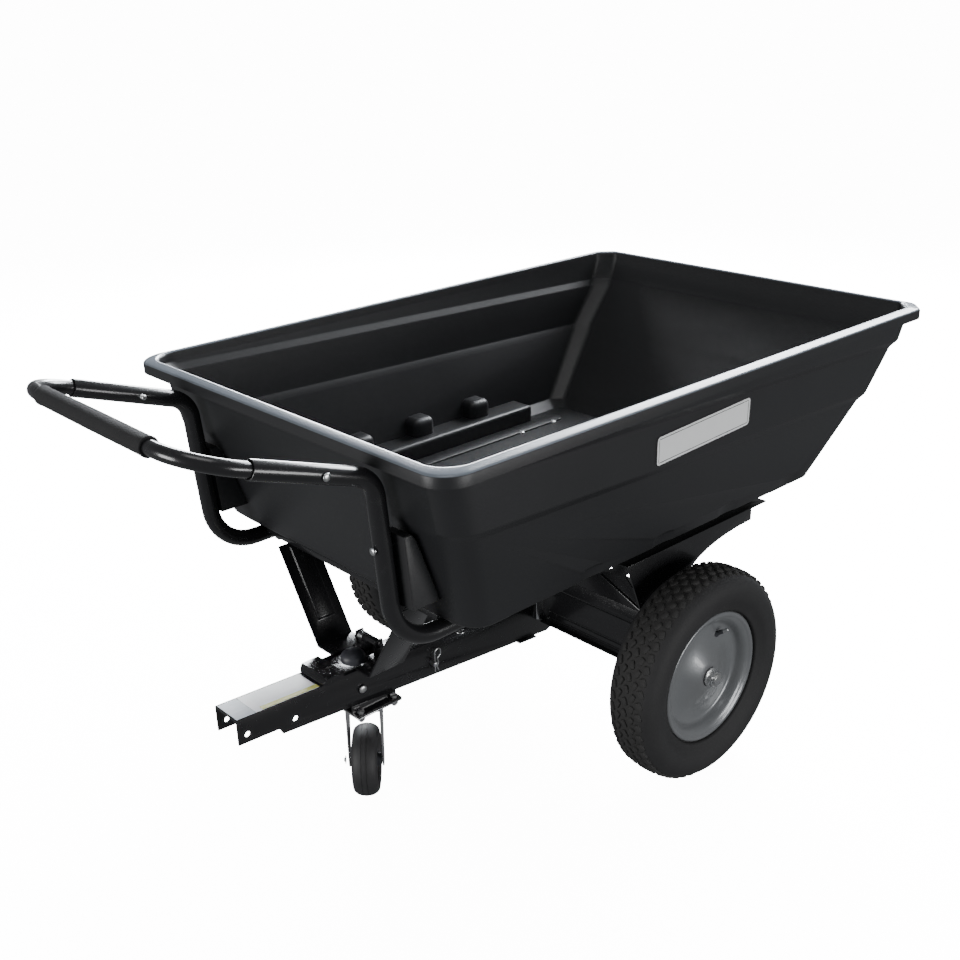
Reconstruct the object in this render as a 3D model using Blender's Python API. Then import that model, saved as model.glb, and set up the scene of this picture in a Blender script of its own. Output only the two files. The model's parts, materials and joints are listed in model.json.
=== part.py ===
"""Garden tractor trailer: a moulded tub that tips on two pneumatic wheels, with a drawbar and a caster.

Metres, +Z up. The hitch end points to -X and the near side is -Y. Shapes are worked out from the wheel
axle, x = 0, with the floor at z = 0, and the whole trailer is then set on the centre of its own length.
"""
from math import atan2, ceil, cos, hypot, pi, radians, sin, tan

import bmesh
import bpy
from mathutils import Matrix, Vector

# Clearances
GAP = 0.0003
TURN_GAP = 0.0004
SWEEP_GAP = 0.0035

# Main wheels, a 3.50-8 tyre on a pressed steel rim
TYRE_RADIUS = 0.190
TYRE_WIDTH = 0.098
TYRE_WALL = 0.007
BEAD_HEIGHT = 0.006
FLANGE_PLAY = 0.001
SHOULDER_DROP = 0.013
RIM_RADIUS = 0.1175
RIM_WIDTH = 0.068
BEAD_RADIUS = 0.104
RIM_SHEET = 0.002
WELL_RADIUS = 0.099
WELL_HALF_WIDTH = 0.009
DISC_FLAT_OUTER = 0.090
DISC_FLAT_INNER = 0.070
DOME_RADIUS = 0.026
DOME_REACH = 0.028
WHEEL_CLEARANCE = 0.022
HUB_RADIUS = 0.0165
HUB_OUTER_REACH = 0.031
VALVE_RADIUS = 0.004
VALVE_LENGTH = 0.026
VALVE_STATION = 0.084
VALVE_ANGLE = radians(60.0)

# Axle
AXLE_RADIUS = 0.010
AXLE_TAIL = 0.0042
NUT_RADIUS = 0.0145
NUT_LENGTH = 0.0095
NUT_CHAMFER = 0.0015
NUT_FLANGE = 0.0025
NUT_FLANGE_RADIUS = 0.017

# Tub outside, from the top down
RIM_TOP_Z = 0.725
RIM_FRONT_X = -0.587
RIM_REAR_X = 0.600
RIM_HALF_WIDTH = 0.400
RIM_CORNER = 0.055
REAR_RIM_CORNER = 0.045
LIP_REACH = 0.020
LIP_DROP = 0.022
LIP_THICKNESS = 0.004
CREST_CHAMFER = 0.004
TUB_WALL = 0.004
REAR_WALL_FACTOR = 1.3
UPPER_LEDGE_Z = 0.679
LOWER_LEDGE_Z = 0.590
LEDGE_HEIGHT = 0.012
SIDE_LEDGE = 0.0085
FRONT_LEDGE = 0.008
REAR_LEDGE = 0.029
TOP_BAND_SLOPES = (0.09, 0.09, 0.27)
MIDDLE_BAND_SLOPES = (0.05, 0.21, 0.78)
LOWER_BAND_SLOPES = (0.21, 0.37, 0.54)
FOOT_HEIGHT = 0.016
SIDE_FOOT = 0.027
FRONT_FOOT = 0.015
REAR_FOOT = 0.022
FLOOR_Z = 0.426
FLOOR_CORNER = 0.045
REAR_WALL_CORNER = 0.045
REAR_FLOOR_CORNER = 0.040
CORNER_STEPS = 5

# Raised benches along both sides of the tub floor, with pads on them
BENCH_FRONT_X = -0.410
BENCH_REAR_X = 0.235
BENCH_INNER_Y = 0.280
BENCH_RISE = 0.034
PAD_FIRST_X = -0.185
PAD_PITCH = 0.150
PAD_COUNT = 3
PAD_WIDTH = 0.044
PAD_RISE = 0.035
PAD_INNER_Y = 0.302

# Bosses of the tub that the front legs are bolted to
BOSS_OFFSET = 0.010
BOSS_WIDTH = 0.044
BOSS_LOW_Z = 0.480
BOSS_HIGH_Z = 0.596

# Side tubes: handle socket, front leg and the run under the floor
TUBE_RADIUS = 0.014
TUBE_Y = 0.240
SOCKET_X = -0.762
SOCKET_Z = 0.747
LEG_TOP_X = -0.574
LEG_TOP_Z = 0.682
LEG_FOOT_X = -0.552
LEG_TOP_BEND = 0.045
LEG_FOOT_BEND = 0.079
TUBE_REAR_X = 0.290

# Handle bar and foam grip
BAR_RADIUS = 0.011
GRIP_X = -0.842
HANDLE_INSERT = 0.125
BAR_BEND = 0.080
FOAM_RADIUS = 0.0145
FOAM_LENGTH = 0.300

# Drawbar, an inverted channel that gets deeper towards the axle
BAR_HALF_WIDTH = 0.031
BAR_SHEET = 0.003
HITCH_X = -0.705
HITCH_TOP_Z = 0.262
BAR_OVER_AXLE = 0.036
NOSE_DEPTH = 0.044
STEP_X = -0.625
STEP_LENGTH = 0.006
STEP_DEPTH = 0.0554
HEEL_X = -0.034
HEEL_DROP = 0.036
TAIL_X = 0.014
TAIL_DROP = 0.016
HITCH_HOLE_X = (-0.688, -0.600)
HITCH_HOLE_DROP = (0.030, 0.0375)
HITCH_HOLE_RADIUS = 0.0055
SLEEVE_RADIUS = 0.015

# Clevis pin and its wire clip
PIN_X = -0.318
PIN_DROP = 0.038
PIN_RADIUS = 0.005
PIN_HEAD_RADIUS = 0.008
PIN_TAIL = 0.013
CLIP_WIRE = 0.0013
CLIP_LOOP = 0.0075
CLIP_LEG = 0.018

# Stop plate under the drawbar
STOP_X = -0.088
STOP_LENGTH = 0.044
STOP_HALF_WIDTH = 0.036
STOP_SHEET = 0.003
STOP_BOLT_X = -0.088

# Saddle that the struts stand on, and its latch
SADDLE_FRONT_X = -0.545
SADDLE_REAR_X = -0.395
SADDLE_HALF_WIDTH = 0.036
SADDLE_SHEET = 0.0042
BLOCK_REAR_X = -0.505
BLOCK_RISE = 0.008
SLOT_FRONT_X = -0.478
SLOT_REAR_X = -0.412
SLOT_HALF_WIDTH = 0.009
SADDLE_SLOT_HALF_WIDTH = 0.012
EAR_Y = 0.024
EAR_SHEET = 0.003
EAR_HALF_LENGTH = 0.011
LATCH_X = -0.425
LATCH_HEIGHT = 0.022
LATCH_PIN_RADIUS = 0.004
BARREL_RADIUS = 0.0085
LEVER_HALF_WIDTH = 0.003
ARM_HALF_THICKNESS = 0.003
ARM_Y = (-0.020, -0.006)
PAD_X = -0.478
PAD_Y = -0.026
PAD_RADIUS = 0.019
PAD_LIFT = 0.015
PAD_HEIGHT = 0.016
CATCH_X = -0.468
CATCH_DROP = 0.034
CATCH_RADIUS = 0.004
HOOK_NOSE = 0.0005
SPRING_WIRE = 0.001
SPRING_TURNS = 4

# Struts from the saddle to the cross member
STRUT_FRONT_X = -0.481
STRUT_REAR_X = -0.409
STRUT_SHEET = 0.003
STRUT_FOOT_Y = 0.071
STRUT_HEAD_Y = 0.166
STRUT_TAB_Y = 0.029
BEAD_HALF_WIDTH = 0.017
BEAD_RISE = 0.004
BEAD_START_SHARE = 0.22
BEAD_END_SHARE = 0.97

# Cross member under the floor
MEMBER_FRONT_X = -0.462
MEMBER_REAR_X = -0.396
MEMBER_SHEET = 0.004
MEMBER_FLANGE = 0.010

# Axle beam, a hat section open downwards
BEAM_HALF_WIDTH = 0.045
BEAM_DROP = 0.008
BEAM_HEIGHT = 0.103
BEAM_SHEET = 0.003
BEAM_FLANGE = 0.010
BRACKET_WALL = 0.003
PIVOT_PLAY = 0.0006
CHEEK_FRONT_X = -0.064
CHEEK_REAR_X = 0.030
CHEEK_SLANT_X = -0.020
CHEEK_DROP = 0.016

# Side plates from the axle to the side tubes
PLATE_Y = 0.282
PLATE_SHEET = 0.003
PLATE_REAR_X = 0.238
PLATE_END_Z = 0.374
PLATE_FOOT_DROP = 0.024
PLATE_FOOT_HALF = 0.032
PLATE_FRONT_X = -0.072
PLATE_SHOULDER_X = -0.060
PLATE_NECK_X = 0.058
PLATE_NECK_Z = 0.320
ARC_STEPS = 8
SHELF_INNER_Y = 0.226
SHELF_FRONT_X = -0.102
SHELF_REAR_X = 0.284

# Gussets between the beam and the side plates
GUSSET_SHEET = 0.003
GUSSET_INNER_Y = 0.085
GUSSET_PEAK_Z = 0.335
GUSSET_SETBACK = 0.0005
HORN_STEP = 0.006

# Caster
CASTER_X = -0.445
BRACKET_HALF_LENGTH = 0.046
BRACKET_HALF_WIDTH = 0.047
BRACKET_DEPTH = 0.074
BRACKET_SHEET = 0.003
CASTER_PLATE_SHEET = 0.003
CASTER_BOLT_X = 0.035
CASTER_BOLT_Y = 0.039
CASTER_BOLT_HEAD = 0.0068
KING_RADIUS = 0.006
KING_HEAD_RADIUS = 0.010
RACE_RADIUS = 0.027
RACE_HEIGHT = 0.007
FORK_SHEET = 0.0025
FORK_INNER = 0.0275
FORK_TOP_HALF = 0.025
FORK_FOOT_RADIUS = 0.012
CASTER_TRAIL = 0.016
CASTER_ANGLE = radians(228.0)
CASTER_RADIUS = 0.062
CASTER_WIDTH = 0.044
CASTER_HUB_RADIUS = 0.040
CASTER_HUB_HALF = 0.026
CASTER_AXLE_RADIUS = 0.004

# Fasteners
BOLT_RADIUS = 0.004
BOLT_HEAD_RADIUS = 0.0075
BOLT_HEAD_HEIGHT = 0.005
BOLT_NUT_HEIGHT = 0.006
BOLT_TAIL = 0.003
FLOOR_BOLT_X = (-0.430, 0.170, 0.262)
MEMBER_BOLT_Y = 0.120
HANDLE_BOLT_X = -0.659
LEG_BOLT_Z = 0.575
FRAME_BOLT_HEAD = 0.006
BOLT_HEAD_DOME = 0.0035

# Facets
WHEEL_SIDES = 24
CASTER_SIDES = 20
HUB_SIDES = 12
BOLT_SIDES = 8
TUBE_SIDES = 10
SPRING_SIDES = 5
SPRING_STEPS = 8
BEND_STEPS = 5

# Everything is set on the middle of its own length, grip to rear rim.
FRAME_SHIFT = -(GRIP_X - FOAM_RADIUS + RIM_REAR_X) / 2
AXLE_Z = TYRE_RADIUS
AXLE_TOP_Z = AXLE_Z + BAR_OVER_AXLE
HEEL_BOTTOM_Z = AXLE_Z - HEEL_DROP
TAIL_BOTTOM_Z = AXLE_Z - TAIL_DROP
BEAM_BOTTOM_Z = AXLE_Z - BEAM_DROP
BEAM_TOP_Z = BEAM_BOTTOM_Z + BEAM_HEIGHT
CHEEK_BOTTOM_Z = AXLE_Z - CHEEK_DROP
PLATE_FOOT_Z = AXLE_Z - PLATE_FOOT_DROP
WHEEL_Y = PLATE_Y + PLATE_SHEET + WHEEL_CLEARANCE + TYRE_WIDTH / 2
RUN_Z = FLOOR_Z - GAP - TUBE_RADIUS
SHELF_TOP_Z = RUN_Z - TUBE_RADIUS - GAP
AXLE_END = WHEEL_Y + HUB_OUTER_REACH + GAP + NUT_FLANGE + NUT_LENGTH + AXLE_TAIL
SIDES = (("near", -1), ("far", 1))


def bar_top(x):
    """Height of the drawbar's top face at a station along it."""
    share = (x - HITCH_X) / -HITCH_X
    return HITCH_TOP_Z + (AXLE_TOP_Z - HITCH_TOP_Z) * share


STEP_BOTTOM_Z = bar_top(STEP_X) - STEP_DEPTH
HITCH_HOLE_Z = tuple(bar_top(x) - drop for x, drop in zip(HITCH_HOLE_X, HITCH_HOLE_DROP))
PIN_Z = bar_top(PIN_X) - PIN_DROP
SADDLE_TOP_Z = bar_top(SADDLE_FRONT_X) + SADDLE_SHEET
LATCH_Z = SADDLE_TOP_Z + LATCH_HEIGHT
PAD_BASE_Z = SADDLE_TOP_Z + PAD_LIFT
CATCH_Z = bar_top(CATCH_X) - CATCH_DROP
BRACKET_BASE_Z = bar_top(CASTER_X) - BRACKET_DEPTH


def remove_old_objects():
    for old in list(bpy.data.objects):
        bpy.data.objects.remove(old, do_unlink=True)


def material(name, colour, roughness, metallic=0.0):
    """A Principled material, made once and shared."""
    made = bpy.data.materials.get(name)
    if made is None:
        made = bpy.data.materials.new(name)
        made.use_nodes = True
        shader = made.node_tree.nodes["Principled BSDF"]
        shader.inputs["Base Color"].default_value = (*colour, 1.0)
        shader.inputs["Roughness"].default_value = roughness
        shader.inputs["Metallic"].default_value = metallic
        made.diffuse_color = (*colour, 1.0)
    return made


def black_steel():
    return material("gloss_black_steel", (0.012, 0.012, 0.013), 0.28, 0.3)


def tub_plastic():
    return material("charcoal_tub_plastic", (0.028, 0.029, 0.031), 0.45)


def zinc():
    return material("zinc_plate", (0.62, 0.64, 0.66), 0.32, 1.0)


def rim_paint():
    return material("grey_rim_paint", (0.23, 0.24, 0.25), 0.35, 0.2)


def tyre_rubber():
    return material("tyre_rubber", (0.018, 0.018, 0.019), 0.75)


def grip_foam():
    return material("grip_foam", (0.015, 0.015, 0.016), 0.9)


def black_plastic():
    return material("black_plastic", (0.02, 0.021, 0.024), 0.4)


def moved_to_pivot(mesh, pivot):
    mesh.transform(Matrix.Translation(-Vector(pivot)))


def finish(name, bm, look, pivot=(0.0, 0.0, 0.0), sharp=35.0):
    """Turns a bmesh built in axle coordinates into an object whose origin is its pivot."""
    bmesh.ops.remove_doubles(bm, verts=bm.verts, dist=1e-6)
    bmesh.ops.recalc_face_normals(bm, faces=bm.faces)
    mesh = bpy.data.meshes.new(name)
    bm.to_mesh(mesh)
    bm.free()
    moved_to_pivot(mesh, pivot)
    mesh.shade_smooth()
    mesh.set_sharp_from_angle(angle=radians(sharp))
    obj = bpy.data.objects.new(name, mesh)
    obj.location = Vector(pivot) + Vector((FRAME_SHIFT, 0.0, 0.0))
    obj.data.materials.append(look)
    bpy.context.collection.objects.link(obj)
    return obj


def boolean(obj, bm, operation, name):
    """Adds a live Boolean modifier whose tool is a hidden wire object."""
    tool = finish(name, bm, black_plastic())
    tool.hide_render = True
    tool.display_type = "WIRE"
    modifier = obj.modifiers.new(name, "BOOLEAN")
    modifier.operation = operation
    modifier.solver = "EXACT"
    modifier.object = tool
    return tool


def add_box(bm, low, high):
    """A box between two corners."""
    size = Vector(high) - Vector(low)
    centre = (Vector(high) + Vector(low)) / 2
    place = Matrix.Translation(centre) @ Matrix.Diagonal((*size, 1.0))
    bmesh.ops.create_cube(bm, size=1.0, matrix=place)


def add_loft(bm, rings):
    """Bridges closed rings of equal count and caps both ends."""
    loops = [[bm.verts.new(point) for point in ring] for ring in rings]
    for lower, upper in zip(loops, loops[1:]):
        count = len(lower)
        for index in range(count):
            following = (index + 1) % count
            bm.faces.new((lower[index], lower[following], upper[following], upper[index]))
    bm.faces.new(list(reversed(loops[0])))
    bm.faces.new(loops[-1])


def add_prism(bm, outline, axis, low, high):
    """Extrudes an outline in the plane square to axis 'X', 'Y' or 'Z' between two stations."""
    def point(pair, station):
        first, second = pair
        return {"X": (station, first, second),
                "Y": (first, station, second),
                "Z": (first, second, station)}[axis]
    add_loft(bm, [[point(pair, station) for pair in outline] for station in (low, high)])


def frame_along(direction):
    """Two unit vectors square to a direction."""
    along = Vector(direction).normalized()
    helper = Vector((0.0, 0.0, 1.0)) if abs(along.z) < 0.9 else Vector((1.0, 0.0, 0.0))
    first = helper.cross(along).normalized()
    return along, first, along.cross(first)


def add_turned(bm, centre, direction, profile, sides, closed=False):
    """Turns (along, radius) points round an axis.

    An open profile starts and ends at a radius and is capped there; a closed one is a ring.
    """
    along, first, second = frame_along(direction)
    rings = []
    for station, radius in profile:
        ring = []
        for index in range(sides):
            angle = 2 * pi * index / sides
            offset = first * cos(angle) * radius + second * sin(angle) * radius
            ring.append(bm.verts.new(Vector(centre) + along * station + offset))
        rings.append(ring)
    pairs = list(zip(rings, rings[1:]))
    if closed:
        pairs.append((rings[-1], rings[0]))
    for lower, upper in pairs:
        for index in range(sides):
            following = (index + 1) % sides
            bm.faces.new((lower[index], lower[following], upper[following], upper[index]))
    if not closed:
        bm.faces.new(list(reversed(rings[0])))
        bm.faces.new(rings[-1])


def add_cylinder(bm, start, end, radius, sides=BOLT_SIDES):
    span = Vector(end) - Vector(start)
    add_turned(bm, start, span, [(0.0, radius), (span.length, radius)], sides)


def bore(radius, sides=BOLT_SIDES, clearance=GAP):
    """Radius of a faceted hole whose flats clear a faceted shaft of the same sides."""
    return radius / cos(pi / sides) + clearance


def add_bolt(bm, head_face, nut_face, radius=BOLT_RADIUS, head=BOLT_HEAD_RADIUS, domed=False):
    """A bolt and its nut, clamping what lies between the two faces."""
    grip = Vector(nut_face) - Vector(head_face)
    start = -GAP
    if domed:
        crown = [(start - BOLT_HEAD_DOME, head * 0.45), (start - BOLT_HEAD_DOME * 0.6, head * 0.85)]
    else:
        crown = [(start - BOLT_HEAD_HEIGHT, head)]
    end = grip.length + GAP
    profile = crown + [(start, head), (start, radius), (end, radius), (end, head),
                       (end + BOLT_NUT_HEIGHT, head), (end + BOLT_NUT_HEIGHT, radius),
                       (end + BOLT_NUT_HEIGHT + BOLT_TAIL, radius)]
    add_turned(bm, head_face, grip, profile, BOLT_SIDES)


def rounded_path(points, radii):
    """A polyline whose inner corners are arcs of the given radii."""
    path = [Vector(points[0])]
    for index, radius in enumerate(radii, start=1):
        corner = Vector(points[index])
        back = (Vector(points[index - 1]) - corner).normalized()
        ahead = (Vector(points[index + 1]) - corner).normalized()
        half = back.angle(ahead) / 2
        reach = radius / tan(half)
        centre = corner + (back + ahead).normalized() * (radius / sin(half))
        start = corner + back * reach - centre
        turn = pi - 2 * half
        axis = start.cross(corner + ahead * reach - centre).normalized()
        for step in range(BEND_STEPS + 1):
            path.append(centre + Matrix.Rotation(turn * step / BEND_STEPS, 3, axis) @ start)
    path.append(Vector(points[-1]))
    return path


def add_tube(bm, path, radius, sides=TUBE_SIDES):
    """Sweeps a circle along a path without twist and caps its ends."""
    rings = []
    normal = None
    for index, point in enumerate(path):
        before = path[max(index - 1, 0)]
        after = path[min(index + 1, len(path) - 1)]
        incoming = (point - before).normalized() if index else (after - point).normalized()
        outgoing = (after - point).normalized() if index < len(path) - 1 else incoming
        tangent = (incoming + outgoing).normalized()
        if normal is None:
            normal = frame_along(tangent)[1]
        normal = (normal - tangent * normal.dot(tangent)).normalized()
        side = tangent.cross(normal)
        stretch = 1.0 / max(tangent.dot(incoming), 0.5)
        bend = (outgoing - incoming)
        bend_axis = bend.normalized() if bend.length > 1e-6 else None
        ring = []
        for step in range(sides):
            angle = 2 * pi * step / sides
            offset = normal * cos(angle) * radius + side * sin(angle) * radius
            if bend_axis is not None:
                offset += bend_axis * offset.dot(bend_axis) * (stretch - 1.0)
            ring.append(point + offset)
        rings.append(ring)
    add_loft(bm, rings)


def bar_bottom(x):
    """Height of the drawbar's lower edge behind its step."""
    share = (x - STEP_X) / (HEEL_X - STEP_X)
    return STEP_BOTTOM_Z + (HEEL_BOTTOM_Z - STEP_BOTTOM_Z) * share


def leg_x(z):
    """Centre line of the straight front leg at a height."""
    share = (LEG_TOP_Z - z) / (LEG_TOP_Z - RUN_Z)
    return LEG_TOP_X + (LEG_FOOT_X - LEG_TOP_X) * share


def drawbar_section(x, bottom):
    """Inverted channel at a station, as eight points round its sheet."""
    top = bar_top(x)
    outer = BAR_HALF_WIDTH
    inner = BAR_HALF_WIDTH - BAR_SHEET
    under = top - BAR_SHEET
    pairs = [(-outer, bottom), (-outer, top), (outer, top), (outer, bottom),
             (inner, bottom), (inner, under), (-inner, under), (-inner, bottom)]
    return [(x, y, z) for y, z in pairs]


def make_drawbar():
    stations = [(HITCH_X, bar_top(HITCH_X) - NOSE_DEPTH),
                (STEP_X - STEP_LENGTH, bar_top(STEP_X) - NOSE_DEPTH),
                (STEP_X, STEP_BOTTOM_Z), (HEEL_X, HEEL_BOTTOM_Z), (TAIL_X, TAIL_BOTTOM_Z)]
    bm = bmesh.new()
    add_loft(bm, [drawbar_section(x, bottom) for x, bottom in stations])
    bar = finish("drawbar_channel", bm, black_steel())

    holes = bmesh.new()
    reach = BAR_HALF_WIDTH + 2 * BAR_SHEET
    for x, z in zip(HITCH_HOLE_X, HITCH_HOLE_Z):
        add_cylinder(holes, (x, -reach, z), (x, reach, z), HITCH_HOLE_RADIUS)
    add_cylinder(holes, (PIN_X, -reach, PIN_Z), (PIN_X, reach, PIN_Z), bore(PIN_RADIUS))
    add_cylinder(holes, (CATCH_X, -reach, CATCH_Z), (CATCH_X, reach, CATCH_Z), bore(CATCH_RADIUS))
    add_cylinder(holes, (0, -reach, AXLE_Z), (0, reach, AXLE_Z),
                 bore(AXLE_RADIUS, HUB_SIDES, TURN_GAP), HUB_SIDES)
    slot_top = bar_top(SLOT_FRONT_X) + BAR_SHEET
    slot_bottom = bar_top(SLOT_REAR_X) - 2 * BAR_SHEET
    add_box(holes, (SLOT_FRONT_X, -SLOT_HALF_WIDTH, slot_bottom), (SLOT_REAR_X, SLOT_HALF_WIDTH, slot_top))
    add_cylinder(holes, (STOP_BOLT_X, 0, bar_top(STOP_BOLT_X) - 2 * BAR_SHEET),
                 (STOP_BOLT_X, 0, bar_top(STOP_BOLT_X) + BAR_SHEET), bore(BOLT_RADIUS))
    boolean(bar, holes, "DIFFERENCE", "drawbar_holes")


def make_pivot_sleeve():
    """Bush between the drawbar's webs, turning on the axle."""
    reach = BAR_HALF_WIDTH - BAR_SHEET - GAP
    inner = bore(AXLE_RADIUS, HUB_SIDES, TURN_GAP)
    bm = bmesh.new()
    profile = [(-reach, inner), (reach, inner), (reach, SLEEVE_RADIUS), (-reach, SLEEVE_RADIUS)]
    add_turned(bm, (0, 0, AXLE_Z), (0, 1, 0), profile, HUB_SIDES, closed=True)
    finish("pivot_sleeve", bm, zinc())


def make_clevis_pin():
    """Pin across the drawbar, its head on the far side and its drilled tail on the near side."""
    start = BAR_HALF_WIDTH + GAP
    bm = bmesh.new()
    profile = [(-BOLT_HEAD_HEIGHT, PIN_HEAD_RADIUS), (0.0, PIN_HEAD_RADIUS), (0.0, PIN_RADIUS),
               (2 * start + PIN_TAIL, PIN_RADIUS)]
    add_turned(bm, (PIN_X, start, PIN_Z), (0, -1, 0), profile, BOLT_SIDES)
    pin = finish("clevis_pin", bm, zinc())
    hole = bmesh.new()
    clip_y = clip_station()
    add_cylinder(hole, (PIN_X, clip_y, PIN_Z - 2 * PIN_RADIUS), (PIN_X, clip_y, PIN_Z + 2 * PIN_RADIUS),
                 bore(CLIP_WIRE, 8), 8)
    boolean(pin, hole, "DIFFERENCE", "clevis_pin_hole")


def clip_station():
    """Y of the wire clip, outside the near web."""
    return -(BAR_HALF_WIDTH + GAP + PIN_TAIL * 0.6)


def make_wire_clip():
    """R-shaped clip: a straight leg through the pin, an open loop above it and a leg beside the pin."""
    y = clip_station()
    loop_z = PIN_Z + CLIP_LOOP + 2 * PIN_RADIUS
    points = [Vector((PIN_X, y, z)) for z in (PIN_Z - CLIP_LEG, PIN_Z, loop_z - CLIP_LOOP)]
    centre = Vector((PIN_X + CLIP_LOOP * 0.9, y, loop_z))
    for step in range(11):
        angle = radians(205.0 - 27.0 * step)
        points.append(centre + Vector((cos(angle), 0.0, sin(angle))) * CLIP_LOOP)
    beside = PIN_X + PIN_RADIUS + 3 * CLIP_WIRE
    points.append(Vector((beside + CLIP_WIRE, y, PIN_Z + PIN_RADIUS)))
    points.append(Vector((beside, y, PIN_Z)))
    points.append(Vector((beside + 2 * CLIP_WIRE, y, PIN_Z - CLIP_LEG * 0.7)))
    bm = bmesh.new()
    add_tube(bm, points, CLIP_WIRE, 8)
    finish("wire_clip", bm, zinc())


def make_stop_plate():
    """Plate bolted up against the drawbar's lower edges, just ahead of the axle."""
    half = STOP_LENGTH / 2
    bm = bmesh.new()
    outline = []
    for x in (STOP_X - half, STOP_X + half):
        top = bar_bottom(x) - GAP
        outline.append([(x, -STOP_HALF_WIDTH, top - STOP_SHEET), (x, STOP_HALF_WIDTH, top - STOP_SHEET),
                        (x, STOP_HALF_WIDTH, top), (x, -STOP_HALF_WIDTH, top)])
    add_loft(bm, outline)
    plate = finish("stop_plate", bm, zinc())
    hole = bmesh.new()
    low = bar_bottom(STOP_X) - 3 * STOP_SHEET
    add_cylinder(hole, (STOP_BOLT_X, 0, low), (STOP_BOLT_X, 0, bar_bottom(STOP_X) + STOP_SHEET),
                 bore(BOLT_RADIUS))
    boolean(plate, hole, "DIFFERENCE", "stop_plate_hole")

    # The head stands square to Z, so it starts above the higher edge of its seat.
    slope = abs(bar_top(STOP_BOLT_X) - bar_top(STOP_BOLT_X - BOLT_HEAD_RADIUS))
    fall = abs(bar_bottom(STOP_BOLT_X) - bar_bottom(STOP_BOLT_X + BOLT_HEAD_RADIUS))
    bolt = bmesh.new()
    add_bolt(bolt, (STOP_BOLT_X, 0, bar_top(STOP_BOLT_X) + slope),
             (STOP_BOLT_X, 0, bar_bottom(STOP_BOLT_X) - GAP - STOP_SHEET - fall))
    finish("stop_bolt", bolt, zinc())


def make_catch_bolt():
    """Cross bolt that the latch hook holds on to."""
    bm = bmesh.new()
    add_bolt(bm, (CATCH_X, -BAR_HALF_WIDTH, CATCH_Z), (CATCH_X, BAR_HALF_WIDTH, CATCH_Z), CATCH_RADIUS)
    finish("catch_bolt", bm, zinc())


def make_caster_bracket():
    """Channel under the drawbar that levels the caster plate."""
    base = BRACKET_BASE_Z
    deck = base + BRACKET_SHEET
    outer = BAR_HALF_WIDTH
    inner = BAR_HALF_WIDTH - BAR_SHEET
    wide = BRACKET_HALF_WIDTH
    rings = []
    for x in (CASTER_X - BRACKET_HALF_LENGTH, CASTER_X + BRACKET_HALF_LENGTH):
        top = bar_bottom(x) - GAP
        pairs = [(-wide, base), (wide, base), (wide, deck), (outer, deck), (outer, top), (inner, top),
                 (inner, deck), (-inner, deck), (-inner, top), (-outer, top), (-outer, deck), (-wide, deck)]
        rings.append([(x, y, z) for y, z in pairs])
    bm = bmesh.new()
    add_loft(bm, rings)
    bracket = finish("caster_bracket", bm, black_steel())
    holes = bmesh.new()
    for x, y in caster_bolt_places():
        add_cylinder(holes, (x, y, base - BRACKET_SHEET), (x, y, deck + BRACKET_SHEET), bore(BOLT_RADIUS))
    add_cylinder(holes, (CASTER_X, 0, base - BRACKET_SHEET), (CASTER_X, 0, deck + BRACKET_SHEET),
                 bore(KING_HEAD_RADIUS, HUB_SIDES, SWEEP_GAP), HUB_SIDES)
    boolean(bracket, holes, "DIFFERENCE", "caster_bracket_holes")


def side_word(y):
    return "near" if y < 0 else "far"


def caster_bolt_places():
    return [(CASTER_X + along * CASTER_BOLT_X, across * CASTER_BOLT_Y)
            for along in (-1, 1) for across in (-1, 1)]


def make_caster_plate():
    top = BRACKET_BASE_Z - GAP
    low = top - CASTER_PLATE_SHEET
    bm = bmesh.new()
    add_box(bm, (CASTER_X - BRACKET_HALF_LENGTH, -BRACKET_HALF_WIDTH, low),
            (CASTER_X + BRACKET_HALF_LENGTH, BRACKET_HALF_WIDTH, top))
    plate = finish("caster_plate", bm, zinc())
    holes = bmesh.new()
    for x, y in caster_bolt_places():
        add_cylinder(holes, (x, y, low - GAP * 5), (x, y, top + GAP * 5), bore(BOLT_RADIUS))
    add_cylinder(holes, (CASTER_X, 0, low - GAP * 5), (CASTER_X, 0, top + GAP * 5), bore(KING_RADIUS))
    boolean(plate, holes, "DIFFERENCE", "caster_plate_holes")

    for x, y in caster_bolt_places():
        end = "front" if x < CASTER_X else "rear"
        bolt = bmesh.new()
        add_bolt(bolt, (x, y, BRACKET_BASE_Z + BRACKET_SHEET), (x, y, low), head=CASTER_BOLT_HEAD)
        finish("caster_bolt_" + end + "_" + side_word(y), bolt, zinc())

    # King pin: a rivet head over the plate and a formed foot under the fork.
    fork_low = race_low() - FORK_SHEET
    pin = bmesh.new()
    profile = [(-0.004, KING_HEAD_RADIUS), (-GAP, KING_HEAD_RADIUS), (-GAP, KING_RADIUS),
               (top - fork_low + GAP, KING_RADIUS), (top - fork_low + GAP, KING_HEAD_RADIUS),
               (top - fork_low + 0.004, KING_HEAD_RADIUS)]
    add_turned(pin, (CASTER_X, 0, top), (0, 0, -1), profile, BOLT_SIDES)
    finish("king_pin", pin, zinc())


def race_low():
    """Underside of the swivel race."""
    return BRACKET_BASE_Z - GAP - CASTER_PLATE_SHEET - GAP - RACE_HEIGHT


def caster_point(along, across, z):
    """A point of the swivelled caster, from its rolling and axle directions."""
    x = CASTER_X + along * cos(CASTER_ANGLE) - across * sin(CASTER_ANGLE)
    y = along * sin(CASTER_ANGLE) + across * cos(CASTER_ANGLE)
    return (x, y, z)


def caster_axle_direction():
    return (-sin(CASTER_ANGLE), cos(CASTER_ANGLE), 0.0)


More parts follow.
